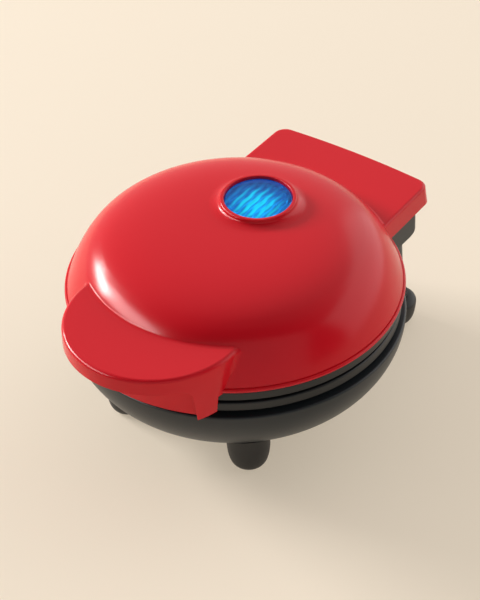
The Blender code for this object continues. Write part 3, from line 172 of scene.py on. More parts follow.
def foot_grid(middle, radius, under_bowl):
    """Outline of the foot turned round its middle, its top lifted to the bowl or closed by the shoulder."""
    sole = bend((foot_sole_radius, 0), (foot_sole_radius + foot_sole_pull, 0),
                (radius - foot_side_lean, foot_side_drop), (radius, foot_widest_height), steps=12)
    bore = [(foot_bore_radius, foot_bore_height), (0, foot_bore_height)]
    if not under_bowl:
        shoulder = bend((radius, foot_widest_height), (radius, foot_shoulder_height - lap),
                        (radius - lap, foot_shoulder_height),
                        (foot_shoulder_radius, foot_shoulder_height), steps=16)
        outline = np.vstack(([(0, 0)], sole, shoulder[1:], [(foot_bore_radius, foot_shoulder_height)], bore))
        return turned_grid(outline, middle, foot_steps)
    rise = np.linspace(0, 1, 9)[1:, None]
    side = np.hstack((radius + 0 * rise, rise))
    edge = arc((radius - foot_edge, 1), foot_edge, 0, 90, steps=5)[1:]
    top = np.vstack((side, np.column_stack((edge[:, 0], np.ones(len(edge)))), [(foot_bore_radius, 1)]))
    plain = turned_grid(np.vstack(([(0, 0)], sole)), middle, foot_steps)
    lifted = turned_grid(top, middle, foot_steps)
    ceiling = bowl_underside(lifted[..., 0], lifted[..., 1], -seat_gap)
    drop = np.zeros(len(top))
    drop[len(side) - 1:len(side) + len(edge)] = foot_edge - np.append(0, edge[:, 1] - 1)
    lifted[..., 2] = (foot_widest_height + (ceiling - foot_widest_height) * lifted[..., 2]) - drop[:, None]
    return np.concatenate((plain, lifted, turned_grid(bore, middle, foot_steps)))


def new_group(name, inputs, outputs):
    """Empty shader node group with the named sockets, each given as (name, kind, start value)."""
    group = bpy.data.node_groups.new(name, "ShaderNodeTree")
    for label, kind, value in inputs:
        socket = group.interface.new_socket(label, in_out="INPUT", socket_type="NodeSocket" + kind)
        if value is not None:
            socket.default_value = value
    for label, kind in outputs:
        group.interface.new_socket(label, in_out="OUTPUT", socket_type="NodeSocket" + kind)
    return group, group.nodes.new("NodeGroupInput").outputs, group.nodes.new("NodeGroupOutput").inputs


def add_node(tree, kind, inputs, **settings):
    """Node of a kind with its settings; each input is a value, or the output that feeds it."""
    node = tree.nodes.new("ShaderNode" + kind)
    for label, value in settings.items():
        setattr(node, label, value)
    for label, value in inputs.items():
        if isinstance(value, bpy.types.NodeSocket):
            tree.links.new(value, node.inputs[label])
        else:
            node.inputs[label].default_value = value
    return node.outputs


def math_of(tree, operation, *values, clamp=False):
    """Output of a Math node that works on values, or on the outputs that feed it."""
    return add_node(tree, "Math", dict(enumerate(values)), operation=operation, use_clamp=clamp)[0]


def surface_life():
    """Moulded, cast or rolled surface: broad patches shift its colour and gloss, and fine grain its height.

    Colour is the colour times one plus the shift times a noise between -1 and 1, and Roughness likewise.
    """
    group, given, taken = new_group(
        "surface_life",
        [("Vector", "Vector", None), ("Patch Scale", "Float", 40.0), ("Colour", "Color", None),
         ("Colour Shift", "Float", 0.05), ("Roughness", "Float", 0.3), ("Roughness Shift", "Float", 0.1),
         ("Grain Scale", "Float", 2000.0)],
        [("Colour", "Color"), ("Roughness", "Float"), ("Height", "Float")])
    patches, wear, grain = [
        add_node(group, "TexNoise", {"Vector": given["Vector"], "Scale": given[scale], **shape})["Fac"]
        for scale, shape in (("Patch Scale", {"Detail": 3.0}),
                             ("Patch Scale", {"Detail": 5.0, "Roughness": 0.65, "Distortion": 0.4}),
                             ("Grain Scale", {"Detail": 2.0}))]
    tint, gloss = [math_of(group, "MULTIPLY_ADD", math_of(group, "MULTIPLY_ADD", noise, 2.0, -1.0),
                           given[shift], 1.0)
                   for noise, shift in ((patches, "Colour Shift"), (wear, "Roughness Shift"))]
    colour = add_node(group, "VectorMath", {0: given["Colour"], "Scale": tint}, operation="SCALE")
    group.links.new(colour["Vector"], taken["Colour"])
    group.links.new(math_of(group, "MULTIPLY", given["Roughness"], gloss), taken["Roughness"])
    group.links.new(grain, taken["Height"])
    return group


life = surface_life()


def new_material(name, **sockets):
    """Material with a Principled BSDF whose plain sockets are set here; gives its tree and shader."""
    finish = bpy.data.materials.new(name)
    finish.use_nodes = True
    shader = finish.node_tree.nodes["Principled BSDF"]
    for label, value in sockets.items():
        shader.inputs[label.replace("_", " ")].default_value = value
    return finish, finish.node_tree, shader


def living_material(name, colour, roughness, patches, grain, stretch=(1, 1, 1), **sockets):
    """Material on Object coordinates whose colour, gloss and grain come from the surface_life group.

    patches holds the shift of colour, the shift of roughness and the scale, and grain its scale and depth.
    """
    finish, tree, shader = new_material(name, **sockets)
    colour_shift, roughness_shift, patch_scale = patches
    grain_scale, grain_depth = grain
    place = add_node(tree, "TexCoord", {})
    turned = add_node(tree, "Mapping", {"Vector": place["Object"], "Scale": stretch})
    surface = add_node(tree, "Group", {
        "Vector": turned["Vector"], "Patch Scale": patch_scale, "Colour": (*colour, 1.0),
        "Colour Shift": colour_shift, "Roughness": roughness, "Roughness Shift": roughness_shift,
        "Grain Scale": grain_scale}, node_tree=life)
    bump = add_node(tree, "Bump", {"Height": surface["Height"], "Distance": grain_depth, "Strength": 1.0})
    for label, result in (("Base Color", surface["Colour"]), ("Roughness", surface["Roughness"]),
                          ("Normal", bump["Normal"])):
        tree.links.new(result, shader.inputs[label])
    return finish


def finished(piece, material, crease=30):
    """Give a piece its material, and smooth every edge but the sharp ones."""
    piece.data.materials.clear()
    piece.data.materials.append(material)
    piece.data.shade_smooth()
    piece.data.set_sharp_from_angle(angle=math.radians(crease))
    lean = piece.modifiers.new("face weights", "WEIGHTED_NORMAL")
    lean.keep_sharp = True
    return piece


foot_rubber = living_material("foot_rubber", (0.018, 0.0175, 0.017), 0.52,
                              patches=(0.12, 0.15, 90.0), grain=(5200.0, 0.02 * mm))
feet = {"foot_front_left": True, "foot_front_right": True,      # true where it runs up to the bowl
        "foot_rear_left": False, "foot_rear_right": False}
for node, under_bowl in feet.items():
    cup = finished(solid(node + "_cup", foot_grid(*foot_place(node), under_bowl)), foot_rubber)
    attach(cup, "base")
    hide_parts(node)


# Base: a black bowl with the hinge block on a neck behind it, moulded in one piece of heatproof plastic.
# A ring inside its rim carries the lower plate, three posts take the plate's screws,
# and the two cheeks of the block hold the hinge pins.
base_wall = 2.2 * mm
bowl_rim_edge = 0.8 * mm
seat_ring_outer = 59.6 * mm
seat_ring_wall = 2.2 * mm
seat_ring_top = 41.7 * mm
seat_ring_drop = 4.2 * mm
neck_half_width = 29.5 * mm
neck_rear = 72.0 * mm
neck_foot_rear = 73.6 * mm
neck_bottom_height = 12.2 * mm
neck_corner = 4.5 * mm
neck_blend = 5.0 * mm
neck_blend_turn = 85.0      # degrees of its quarter circle, which stops short of level
block_half_width = 31.8 * mm
block_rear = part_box("base_shell")[1].y
block_top_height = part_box("base_shell")[1].z
block_underside_height = 39.0 * mm
block_corner = 4.6 * mm
block_underside_corner = 6.4 * mm
block_edge = 0.9 * mm
block_mouth_drop = 3.6 * mm
cheek_front = 57.6 * mm
cheek_inner = 26.5 * mm
window_half_width = 14.0 * mm
plate_post_reach = 47.0 * mm
plate_post_radius = 5.2 * mm
plate_post_top = 32.7 * mm
post_head_height = 17.4 * mm
plate_post_angles = (90.0, 205.0, 335.0)
screw_head_radius = 2.6 * mm
screw_hole_radius = 1.5 * mm
foot_stub_radius = 3.0 * mm
terminal_pad_radius = 3.4 * mm
terminal_pad_height = 3.0 * mm
terminal_reach = 62.0 * mm
hinge_reach, hinge_height = frame["record"]["behaviour"]["joints"][0]["pos_m"][1:]
hinge_bore_radius = 1.8 * mm
hinge_pin_bite = 3.9 * mm
inlet_height = 24.0 * mm
inlet_hole_radius = 5.3 * mm
corner_steps = 10


def edge_turn(radius, height, edge, steps=6, inner=False):
    """Quarter circle for a section's upper corner at (radius, height), on its outer or its inner side."""
    first = 90 if inner else 0
    return arc((radius + (edge if inner else -edge), height - edge), edge, first, first + 90, steps)


def rounded(corners, steps=corner_steps):
    """Outline through (x, y, radius) corners: an arc of that radius turns each corner between its sides."""
    outline = []
    for number, (x, y, radius) in enumerate(corners):
        corner = np.array((x, y))
        if not radius:
            outline.append(corner[None])
            continue
        back = np.array(corners[number - 1][:2]) - corner
        ahead = np.array(corners[(number + 1) % len(corners)][:2]) - corner
        back /= np.linalg.norm(back)
        ahead /= np.linalg.norm(ahead)
        half = math.acos(back @ ahead) / 2
        middle = corner + (back + ahead) / np.linalg.norm(back + ahead) * radius / math.sin(half)
        first = corner + back * radius / math.tan(half) - middle
        last = corner + ahead * radius / math.tan(half) - middle
        turn = math.atan2(first[0] * last[1] - first[1] * last[0], first @ last)
        angle = turn * np.linspace(0, 1, steps + 1)[:, None]
        outline.append(middle + first * np.cos(angle) + np.array((-first[1], first[0])) * np.sin(angle))
    return np.vstack(outline)


def half_rounded(half, low, high, corner):
    """Outline as wide as half on both sides, from low to high, with its two corners at high rounded."""
    return rounded([(-half, low, 0), (half, low, 0), (half, high, corner), (-half, high, corner)])


def prism(name, outline, axis, low, high):
    """Outline drawn square to axis 0, 1 or 2 and pushed along it from low to high."""
    return solid(name, [np.insert(outline, axis, level, axis=1) for level in (low, high)], caps=True)


def block(name, low, high):
    """Block between two corners."""
    (left, front, bottom), (right, rear, top) = low, high
    plan = np.array([(left, front), (right, front), (right, rear), (left, rear)])
    return prism(name, plan, 2, bottom, top)


def level_ring(outline, height):
    """Plan outline, or a ring drawn at another height, laid level at a height."""
    return np.insert(outline[:, :2], 2, height, axis=1)


def post(name, radius, low, high, middle=(0.0, 0.0), steps=48):
    """Upright round post."""
    return solid(name, turned_grid([(0, low), (radius, low), (radius, high), (0, high)], middle, steps))


def laid(piece, axis, offset):
    """Lay an upright piece along axis 0 or 1, its top towards the positive end, and move it by offset."""
    along_x = Matrix(((0, 0, 1), (0, 1, 0), (-1, 0, 0)))
    along_y = Matrix(((1, 0, 0), (0, 0, 1), (0, -1, 0)))
    piece.data.transform(Matrix.Translation(offset) @ (along_x, along_y)[axis].to_4x4())
    return piece


def worked(piece, operation, *tools):
    """Join, cut or trim a piece with tools, which are used up."""
    for tool in tools:
        step = piece.modifiers.new(operation.lower(), "BOOLEAN")
        step.operation = operation
        step.object = tool
        step.solver = "EXACT"
    view = bpy.context.evaluated_depsgraph_get()
    mesh = bpy.data.meshes.new_from_object(piece.evaluated_get(view))
    piece.modifiers.clear()
    tidied(mesh)
    piece.data = mesh
    for tool in tools:
        bpy.data.objects.remove(tool)
    return piece


def joined(piece, *tools):
    """Piece and tools as one."""
    return worked(piece, "UNION", *tools)


def cut(piece, *tools):
    """Piece without what the tools take up."""
    return worked(piece, "DIFFERENCE", *tools)


def round_about(angle, reach):
    """Place at an angle round the plates, in degrees from +X."""
    return reach * math.cos(math.radians(angle)), reach * math.sin(math.radians(angle))


def neck_rear_at(height):
    """How far back the neck's sloping rear wall stands at a height."""
    rise = (height - neck_bottom_height) / (block_underside_height - neck_bottom_height)
    return neck_foot_rear + (neck_rear - neck_foot_rear) * rise


def neck_ring(height, half, rear, corner):
    """Plan of the neck at one height."""
    return level_ring(half_rounded(half, 0, rear, corner), height)


def quarter_turn(count, last=90):
    """A number of angles from 0 to a last one, which is given in degrees."""
    return np.radians(np.linspace(0, last, count))


def neck_solid():
    """Neck on its rounded bottom edge; a hollow quarter circle spreads it under the hinge block."""
    rings = []
    for turn in quarter_turn(7):
        inset = lap * (1 - math.sin(turn))
        height = neck_bottom_height + lap * (1 - math.cos(turn))
        rings.append(neck_ring(height, neck_half_width - inset, neck_rear_at(height) - inset, neck_corner))
    for turn in quarter_turn(12, neck_blend_turn):
        height = block_underside_height + neck_blend * (math.sin(turn) - 1)
        spread = 1 - math.cos(turn)
        rings.append(neck_ring(height, neck_half_width + spread * (block_half_width - neck_half_width),
                               neck_rear_at(height) + spread * neck_blend, neck_corner))
    rings.append(level_ring(rings[-1], block_underside_height + lap))
    return solid("neck", rings, caps=True)


def hinge_block():
    """Hinge block: its side outline swept across in rows that draw in by a quarter circle at both sides."""
    rings = []
    for turn in quarter_turn(7):
        inset = block_edge * (1 - math.sin(turn))
        outline = rounded([(cheek_front, block_underside_height, 0),
                           (block_rear - inset, block_underside_height, block_underside_corner),
                           (block_rear - inset, block_top_height - inset, lap),
                           (cheek_front, block_top_height - inset, block_corner)])
        rings.append(np.insert(outline, 0, -block_half_width + block_edge * (1 - math.cos(turn)), axis=1))
    rings += [ring * (-1, 1, 1) for ring in reversed(rings)]
    plan = prism("plan", half_rounded(block_half_width, 0, block_rear, block_corner), 2,
                 neck_bottom_height, block_top_height + overrun)
    return worked(solid("hinge_block", rings, caps=True), "INTERSECT", plan)


def bowl_solid(name, inset, top):
    """Bowl as a solid, moved in by inset and carried straight up to a height above its rim."""
    outline = np.vstack(([(0, top), (bowl_radius - inset, top)], bowl_outline(inset),
                         [(0, bowl_bottom_height + inset)]))
    return solid(name, turned_grid(outline))


def base_mesh():
    """Bowl turned from its section and joined with the hollow neck and block, then its posts and bores."""
    ring_inner = seat_ring_outer - seat_ring_wall
    ledge = bowl_rim_height - seat_ring_drop
    inside = bowl_outline(base_wall)
    inside = inside[inside[:, 1] < ledge]
    ledge_radius = np.interp(ledge, *bowl_outline(base_wall, 10 * curve_steps)[::-1, ::-1].T)
    rim = edge_turn(bowl_radius, bowl_rim_height, bowl_rim_edge)
    side = bowl_outline(0)[::-1]
    side = side[side[:, 1] < bowl_rim_height - bowl_rim_edge]
    profile = np.vstack(([(0, bowl_bottom_height)], side, rim,
                         [(seat_ring_outer, bowl_rim_height), (seat_ring_outer, seat_ring_top),
                          (ring_inner, seat_ring_top), (ring_inner, ledge), (ledge_radius, ledge)],
                         inside, [(0, bowl_bottom_height + base_wall)]))
    shell = solid("bowl", turned_grid(profile))

    # Neck and block, hollow and open above between the cheeks
    rear = joined(neck_solid(), hinge_block())
    well_floor = block_underside_height + base_wall
    mouth = block_top_height - block_mouth_drop
    above = block_top_height + overrun
    well = prism("well", np.array([(0, well_floor), (block_rear - base_wall, well_floor),
                                   (block_rear - base_wall, mouth), (block_rear + overrun, mouth),
                                   (block_rear + overrun, above), (0, above)]), 0, -cheek_inner, cheek_inner)
    inside = solid("neck_inside", [
        neck_ring(height, neck_half_width - 2 * base_wall, neck_rear_at(height) - base_wall,
                  neck_corner - base_wall)
        for height in (neck_bottom_height + base_wall, well_floor + lap)], caps=True)
    rear = cut(rear, inside, well, bowl_solid("core", base_wall / 2, above))
    window = block("window", (-window_half_width, bowl_flat_radius, neck_bottom_height + 2 * base_wall),
                   (window_half_width, neck_rear - 2 * base_wall, ledge - base_wall))
    shell = cut(joined(shell, rear), window)

    # Posts for the plate's screws, each with a pocket for the screw's head that opens under the bowl
    for angle in plate_post_angles:
        place = round_about(angle, plate_post_reach)
        column = post("post", plate_post_radius, bowl_bottom_height, plate_post_top, place)
        column = worked(column, "INTERSECT", bowl_solid("trim", base_wall / 3, block_top_height))
        shell = joined(shell, column)
        shell = cut(shell, post("pocket", screw_head_radius + 2 * seat_gap, bowl_bottom_height - overrun,
                                post_head_height, place),
                    post("hole", screw_hole_radius, bowl_bottom_height,
                         plate_post_top + overrun, place))

    # Stubs that the feet are pressed on, on short collars at the rear
    neck_floor = neck_bottom_height + base_wall
    for node in feet:
        place, radius = foot_place(node)
        stub = post("stub", foot_stub_radius, foot_bore_height + seat_gap, bowl_bottom_height + 2 * radius,
                    place)
        if place[1] > 0:
            collar = post("collar", foot_shoulder_radius, foot_shoulder_height + seat_gap, neck_floor, place)
            trim = post("trim", 2 * radius, 0, neck_floor - seat_gap, place)
            stub = worked(joined(stub, collar), "INTERSECT", trim)
        else:
            stub = cut(stub, bowl_solid("trim", base_wall / 2, block_top_height))
        shell = joined(shell, stub)

    # Pad for the terminal block, bores for the hinge pins, and the hole for the cord's bushing
    pad_top = neck_floor + terminal_pad_height
    shell = joined(shell, post("pad", terminal_pad_radius, neck_bottom_height + lap, pad_top,
                               (0, terminal_reach)))
    cutters = [post("pad_hole", screw_hole_radius, neck_floor, pad_top + overrun,
                    (0, terminal_reach))]
    for way in (-1, 1):
        ends = sorted((way * (cheek_inner - overrun), way * (cheek_inner + hinge_pin_bite)))
        cutters.append(laid(post("bore", hinge_bore_radius, *ends), 0, (0, hinge_reach, hinge_height)))
    cutters.append(laid(post("inlet", inlet_hole_radius, neck_rear - base_wall - overrun,
                             neck_foot_rear + overrun), 1, (0, 0, inlet_height)))
    return cut(shell, *cutters)


base_plastic = living_material("base_plastic", (0.016, 0.0205, 0.0235), 0.38,
                               patches=(0.08, 0.12, 55.0), grain=(3800.0, 0.012 * mm),
                               Specular_IOR_Level=0.4)
base = finished(base_mesh(), base_plastic)
base.name = "base_shell_moulding"
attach(base, "base")
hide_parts("base_shell")


# Cord inlet: a black bushing pushed into the rear wall of the neck, with a flange outside.
# No cord is fitted in it.
inlet_low, inlet_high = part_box("cord_inlet_bushing")
inlet_bore_radius = 3.3 * mm
inlet_sleeve_radius = 5.0 * mm
inlet_flange_radius = inlet_high.x
inlet_flange = 1.5 * mm
inlet_edge = 0.5 * mm


def bushing_mesh():
    """Sleeve and flange turned round the hole's line, with the flange's outer edge and mouth rounded."""
    seat = inlet_high.y - inlet_flange
    outer = edge_turn(inlet_flange_radius, inlet_high.y, inlet_edge)
    mouth = edge_turn(inlet_bore_radius, inlet_high.y, inlet_edge, inner=True)
    outline = np.vstack(([(inlet_bore_radius, inlet_low.y), (inlet_sleeve_radius, inlet_low.y),
                          (inlet_sleeve_radius, seat), (inlet_flange_radius, seat)], outer, mouth))
    return laid(solid("cord_inlet_bushing_turning", turned_grid(outline, steps=96), loop=True), 1,
                (0, 0, inlet_height))


bushing = finished(bushing_mesh(), foot_rubber)
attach(bushing, "base")
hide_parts("cord_inlet_bushing")


# Wiring: a ceramic terminal block, and silicone wires from it to the thermostat and the heaters.
# They are shut in the base and in the lid, so the solids are kept and given their finishes.
ceramic = living_material("ceramic", (0.72, 0.7, 0.64), 0.45,
                          patches=(0.05, 0.1, 120.0), grain=(4000.0, 0.02 * mm))
silicone = living_material("silicone", (0.62, 0.6, 0.55), 0.5,
                           patches=(0.06, 0.1, 200.0), grain=(6000.0, 0.01 * mm))


def dressed(material, *names):
    """Give carried-over solids their material."""
    for name in names:
        for place in nodes[name].material_slots:
            place.material = material


dressed(ceramic, "terminal_block", "thermal_fuse")
dressed(silicone, "supply_lead", "thermostat_lead", "lower_element_lead", "upper_return_lead", "fuse_lead",
        "upper_element_lead", "lamp_lead")


# Heaters: bent steel tubes on the backs of the plates, each pressed on by a bar and backed by a bright dish.
# A disc thermostat on two ears watches the lower plate. Small cross-headed screws hold all of them.
heater_tube = living_material("heater_tube", (0.17, 0.155, 0.14), 0.42,
                              patches=(0.25, 0.2, 160.0), grain=(3000.0, 0.02 * mm), Metallic=1.0)
bright_sheet = living_material("bright_sheet", (0.72, 0.72, 0.7), 0.24,
                               patches=(0.05, 0.25, 60.0), grain=(2600.0, 0.01 * mm),
                               stretch=(1, 12, 1), Metallic=1.0)
plated_steel = living_material("plated_steel", (0.58, 0.57, 0.54), 0.3,
                               patches=(0.1, 0.25, 220.0), grain=(5000.0, 0.01 * mm), Metallic=1.0)
dark_moulding = living_material("dark_moulding", (0.045, 0.04, 0.036), 0.5,
                                patches=(0.1, 0.12, 80.0), grain=(4200.0, 0.02 * mm))
dressed(heater_tube, "lower_heating_element", "upper_heating_element")
dressed(bright_sheet, "lower_heat_reflector", "upper_heat_reflector")
dressed(plated_steel, "lower_element_clamp", "upper_element_clamp", "fuse_clip", "hinge_pin_left",
        "hinge_pin_right")
dressed(plated_steel, *[name for name in nodes if "screw" in name])
dressed(dark_moulding, "thermostat", "lid_carrier")


# Cooking plates: two aluminium castings with a dark non-stick coat, the upper one turned over.
# Square studs fill the round cavity, and the turned-back lip shows as a satin band between base and lid.
split_height = hinge_height
plate_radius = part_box("lower_plate")[1].x
steam_gap = 1.0 * mm
plate_lip_height = 3.9 * mm
plate_lip_width = 1.8 * mm
plate_flange = 3.0 * mm
plate_floor = 2.5 * mm
plate_edge = 0.7 * mm
plate_edge_steps = 8
cavity_radius = 50.8 * mm
cavity_depth = 8.0 * mm
cavity_draft = 1.4 * mm
cavity_edge = 0.8 * mm
stud_pitch = 12.0 * mm
stud_foot = 8.8 * mm
stud_top = 6.4 * mm
stud_height = 5.8 * mm
stud_fillet = 0.9 * mm
stud_edge = 0.7 * mm
stud_field_radius = 49.0 * mm
stud_squareness = 7.0
stud_columns = 40
centre_boss_radius = 4.0 * mm
centre_boss_height = 7.1 * mm
plate_boss_radius = 3.2 * mm
plate_boss_height = 4.0 * mm
thermostat_reach = 16.0 * mm
thermostat_ear_reach = 10.0 * mm
thermostat_boss_radius = 2.8 * mm
thermostat_boss_height = 3.0 * mm
carrier_screw_reach = 55.6 * mm
carrier_screw_angles = (30.0, 150.0, 270.0)
carrier_screw_radius = 1.1 * mm
carrier_screw_depth = 2.4 * mm


def dish_profile():
    """Section of a plate as (radius, distance from its face): cavity, flange, lip and back."""
    lip_inner = plate_radius - plate_lip_width
    dish_outer = cavity_radius + plate_floor
    back = cavity_depth + plate_floor
    slant = math.degrees(math.atan2(cavity_draft, cavity_depth))
    floor_bend = arc((cavity_radius - cavity_draft - stud_fillet, cavity_depth - stud_fillet), stud_fillet,
                     90, slant, plate_edge_steps)
    brim = arc((cavity_radius + cavity_edge, cavity_edge), cavity_edge, 180 + slant, 270, plate_edge_steps)
    outer = arc((plate_radius - plate_edge, plate_edge), plate_edge, -90, 0, plate_edge_steps)
    lip_out = edge_turn(plate_radius, plate_lip_height, plate_edge, plate_edge_steps)
    lip_in = edge_turn(lip_inner, plate_lip_height, plate_edge, plate_edge_steps, inner=True)
    return np.vstack(([(0, cavity_depth)], floor_bend, brim, outer, lip_out, lip_in,
                      [(lip_inner, plate_flange), (dish_outer, plate_flange),
                       (dish_outer - cavity_draft, back), (0, back)]))


def stud_grids():
    """One grid for each stud: rows of rounded squares, |x|^n + |y|^n = half^n, kept inside the round field.

    From the floor a hollow quarter circle leads into the drafted side, and a quarter circle rounds the top.
    """
    slope = (stud_foot - stud_top) / 2 / stud_height
    turn = quarter_turn(6)
    fillet = np.column_stack((stud_foot / 2 + stud_fillet * (1 - np.sin(turn)),
                              stud_fillet * (1 - np.cos(turn))))
    edge = np.column_stack((stud_top / 2 - stud_edge * (1 - np.cos(turn)),
                            stud_height - stud_edge * (1 - np.sin(turn))))
    fillet[:, 0] -= slope * fillet[:, 1]
    rows = np.vstack(([(stud_foot / 2 + stud_fillet, -plate_floor / 2)], fillet, edge, [(0, stud_height)]))
    angle = (np.arange(stud_columns) + 0.5) * math.tau / stud_columns
    reach = (np.abs(np.cos(angle)) ** stud_squareness
             + np.abs(np.sin(angle)) ** stud_squareness) ** (-1 / stud_squareness)
    count = int(cavity_radius / stud_pitch) + 1
    line = (np.arange(-count, count) + 0.5) * stud_pitch
    across, along = (places.ravel() for places in np.meshgrid(line, line))
    inside = np.hypot(across, along) < stud_field_radius + stud_foot / 4
    across, along = across[inside, None, None], along[inside, None, None]
    x = across + rows[None, :, :1] * (reach * np.cos(angle))
    y = along + rows[None, :, :1] * (reach * np.sin(angle))
    limit = stud_field_radius - stud_foot / 2 + rows[None, :, :1]
    limit = np.where(rows[None, :, :1] > 0, limit, stud_field_radius)
    inward = np.minimum(1, limit / np.hypot(x, y))
    depth = cavity_depth - rows[None, :, 1:] + 0 * x
    return np.stack((x * inward, y * inward, depth), axis=-1)


def plate_mesh(way):
    """One plate, drawn from its face outwards and set below the split for way -1 or above it for way 1."""
    dish = solid("dish", turned_grid(dish_profile()))
    piece = joined(dish, solid("studs", stud_grids()))
    back = cavity_depth + plate_floor
    bosses = [(centre_boss_radius, centre_boss_height, (0.0, 0.0))]
    if way < 0:
        bosses += [(plate_boss_radius, plate_boss_height, round_about(angle, plate_post_reach))
                   for angle in plate_post_angles]
        bosses += [(thermostat_boss_radius, thermostat_boss_height, (side * thermostat_ear_reach,
                                                                     -thermostat_reach)) for side in (-1, 1)]
    piece = joined(piece, *[post("boss", radius, back - lap, back + tall, place)
                            for radius, tall, place in bosses])
    holes = [post("hole", screw_hole_radius, back, back + tall + overrun, place)
             for _, tall, place in bosses]
    if way > 0:
        holes += [post("hole", carrier_screw_radius, plate_flange - carrier_screw_depth,
                       plate_flange + overrun, round_about(angle, carrier_screw_reach))
                  for angle in carrier_screw_angles]
    piece = cut(piece, *holes)
    piece.data.transform(Matrix.Translation((0, 0, split_height + way * steam_gap / 2))
                         @ Matrix.Diagonal((1, 1, way, 1)))
    tidied(piece.data)
    return piece


non_stick = living_material("non_stick", (0.014, 0.0152, 0.0162), 0.33,
                            patches=(0.15, 0.18, 110.0), grain=(2400.0, 0.03 * mm), Specular_IOR_Level=0.4)
for name, way, body in (("lower_plate", -1, "base"), ("upper_plate", 1, "lid")):
    plate = finished(plate_mesh(way), non_stick)
    plate.name = name + "_casting"
    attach(plate, body)
    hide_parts(name)


# Hinge sleeve: a woven glass-fibre tube that carries two wires through the hinge, in two lengths
# that meet on the hinge axis, one on each body.
sleeve_radius = 1.6 * mm
sleeve_sides = 32
off_route = (0.3, 0.2, 1.0)     # a direction that the sleeves nowhere follow
base_route = [(-0.15, 70.0, 45.5), (-3.6, 70.0, 45.5), (-7.2, 68.8, 44.4), (-9.2, 66.6, 40.6),
              (-8.6, 65.4, 35.0), (-6.6, 63.6, 30.6), (-5.8, 62.2, 28.6), (-5.7, 62.0, 26.1)]
lid_route = [(0.15, 70.0, 45.5), (3.6, 70.0, 45.5), (7.4, 69.2, 45.9), (9.6, 66.6, 47.2),
             (10.2, 64.4, 49.4), (10.4, 62.2, 52.4), (10.5, 59.6, 54.4), (10.5, 56.4, 55.4),
             (10.5, 53.8, 57.4)]


def smooth_route(points, steps=8):
    """Curve through the points whose slope at each is half the step between its neighbours."""
    points = np.asarray(points)
    before = np.vstack((points[:1], points[:-2]))
    start, end = points[:-1], points[1:]
    after = np.vstack((points[2:], points[-1:]))
    t = np.linspace(0, 1, steps, endpoint=False)[:, None, None]
    curve = (2 * start + (end - before) * t + (2 * before - 5 * start + 4 * end - after) * t ** 2
             + (3 * start - before - 3 * end + after) * t ** 3) / 2
    return np.vstack((curve.transpose(1, 0, 2).reshape(-1, 3), points[-1:]))


def tube_grid(route, radius, sides):
    """Circles square to a route: two directions at each point, kept from twisting, carry cos and sin."""
    ahead = np.gradient(route, axis=0)
    ahead /= np.linalg.norm(ahead, axis=1, keepdims=True)
    side = np.cross(ahead, off_route)
    side /= np.linalg.norm(side, axis=1, keepdims=True)
    up = np.cross(side, ahead)
    angle = full_turn(sides)
    return (route[:, None] + radius * (side[:, None] * np.cos(angle)[:, None]
                                       + up[:, None] * np.sin(angle)[:, None]))


woven_glass = living_material("woven_glass", (0.55, 0.51, 0.42), 0.72,
                              patches=(0.22, 0.08, 900.0), grain=(1700.0, 0.25 * mm))
for name, body, route in (("hinge_sleeve_base", "base", base_route), ("hinge_sleeve_lid", "lid", lid_route)):
    rings = tube_grid(smooth_route(route) * mm, sleeve_radius, sleeve_sides)
    sleeve = finished(solid(name + "_braid", rings, caps=True), woven_glass, crease=50)
    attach(sleeve, body)
    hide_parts(name)


# Lid: one glossy red moulding, with the dome, the collar round the lens, the handle and the hinge cover.
# The handle is hollow behind a finger recess, and its skirt hangs round the plates.
lid_wall = 1.6 * mm
lid_edge_height = 50.4 * mm
lid_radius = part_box("lid_shell")[1].x
dome_foot_radius = 62.5 * mm
dome_foot_height = 52.6 * mm
dome_top_height = 77.7 * mm
dome_side_lean = 20.0       # degrees
dome_side_pull = 23.0 * mm
dome_crown_pull = 48.0 * mm
rim_bead = 0.8 * mm
rim_bead_rise = 0.25 * mm
rim_groove = 0.45 * mm
lens_reach = 16.2 * mm
lens_hole_radius = 12.8 * mm
lens_ring_radius = 14.4 * mm
lens_ring_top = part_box("lid_shell")[1].z
lens_ring_edge = 0.6 * mm
lens_flare_radius = 18.8 * mm
lens_well_height = 72.7 * mm
nest_inner = 19.6 * mm      # circles nest between these two, from round the lens to round the dome
nest_outer = 49.0 * mm
handle_radius = 34.0 * mm
handle_front = -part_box("lid_shell")[0].y
handle_top_height = 66.0 * mm
handle_band = 6.4 * mm
handle_edge = 1.6 * mm
handle_wall = 2.4 * mm
handle_draft = 1.3 * mm
handle_blend = 5.0 * mm
skirt_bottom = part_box("lid_shell")[0].z
skirt_inner = 64.6 * mm
skirt_wall = 2.6 * mm
ear_half_width = 35.2 * mm
recess_half_width = 28.8 * mm
recess_corner = 4.0 * mm
cover_half_width = 35.0 * mm
cover_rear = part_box("lid_shell")[1].y
cover_bow = 1.6 * mm
cover_bottom_height = 52.5 * mm
cover_top_height = 60.3 * mm
cover_draft = 0.5 * mm
cover_flare = 0.6 * mm
cover_corner = 4.8 * mm
cover_edge = 1.2 * mm
cover_front = 45.0 * mm
cover_cavity_front = 50.0 * mm
cover_side_wall = 1.8 * mm
meeting_fillet = 1.1 * mm   # where the handle's top and the cover's top meet the dome
lamp_post_reach = 19.0 * mm
lamp_post_radius = 3.0 * mm
lamp_post_bottom = 73.1 * mm
lamp_pilot_top = 75.4 * mm


def dome_outline(inset, steps=44):
    """Side of the dome from its foot to the middle of its top, moved in by inset."""
    lean = math.radians(dome_side_lean)
    foot = (dome_foot_radius - inset, dome_foot_height)
    side = (foot[0] - dome_side_pull * math.sin(lean), foot[1] + dome_side_pull * math.cos(lean))
    top = dome_top_height - inset
    return bend(foot, side, (dome_crown_pull, top), (0, top), steps)


dome_line = dome_outline(0, 2000)


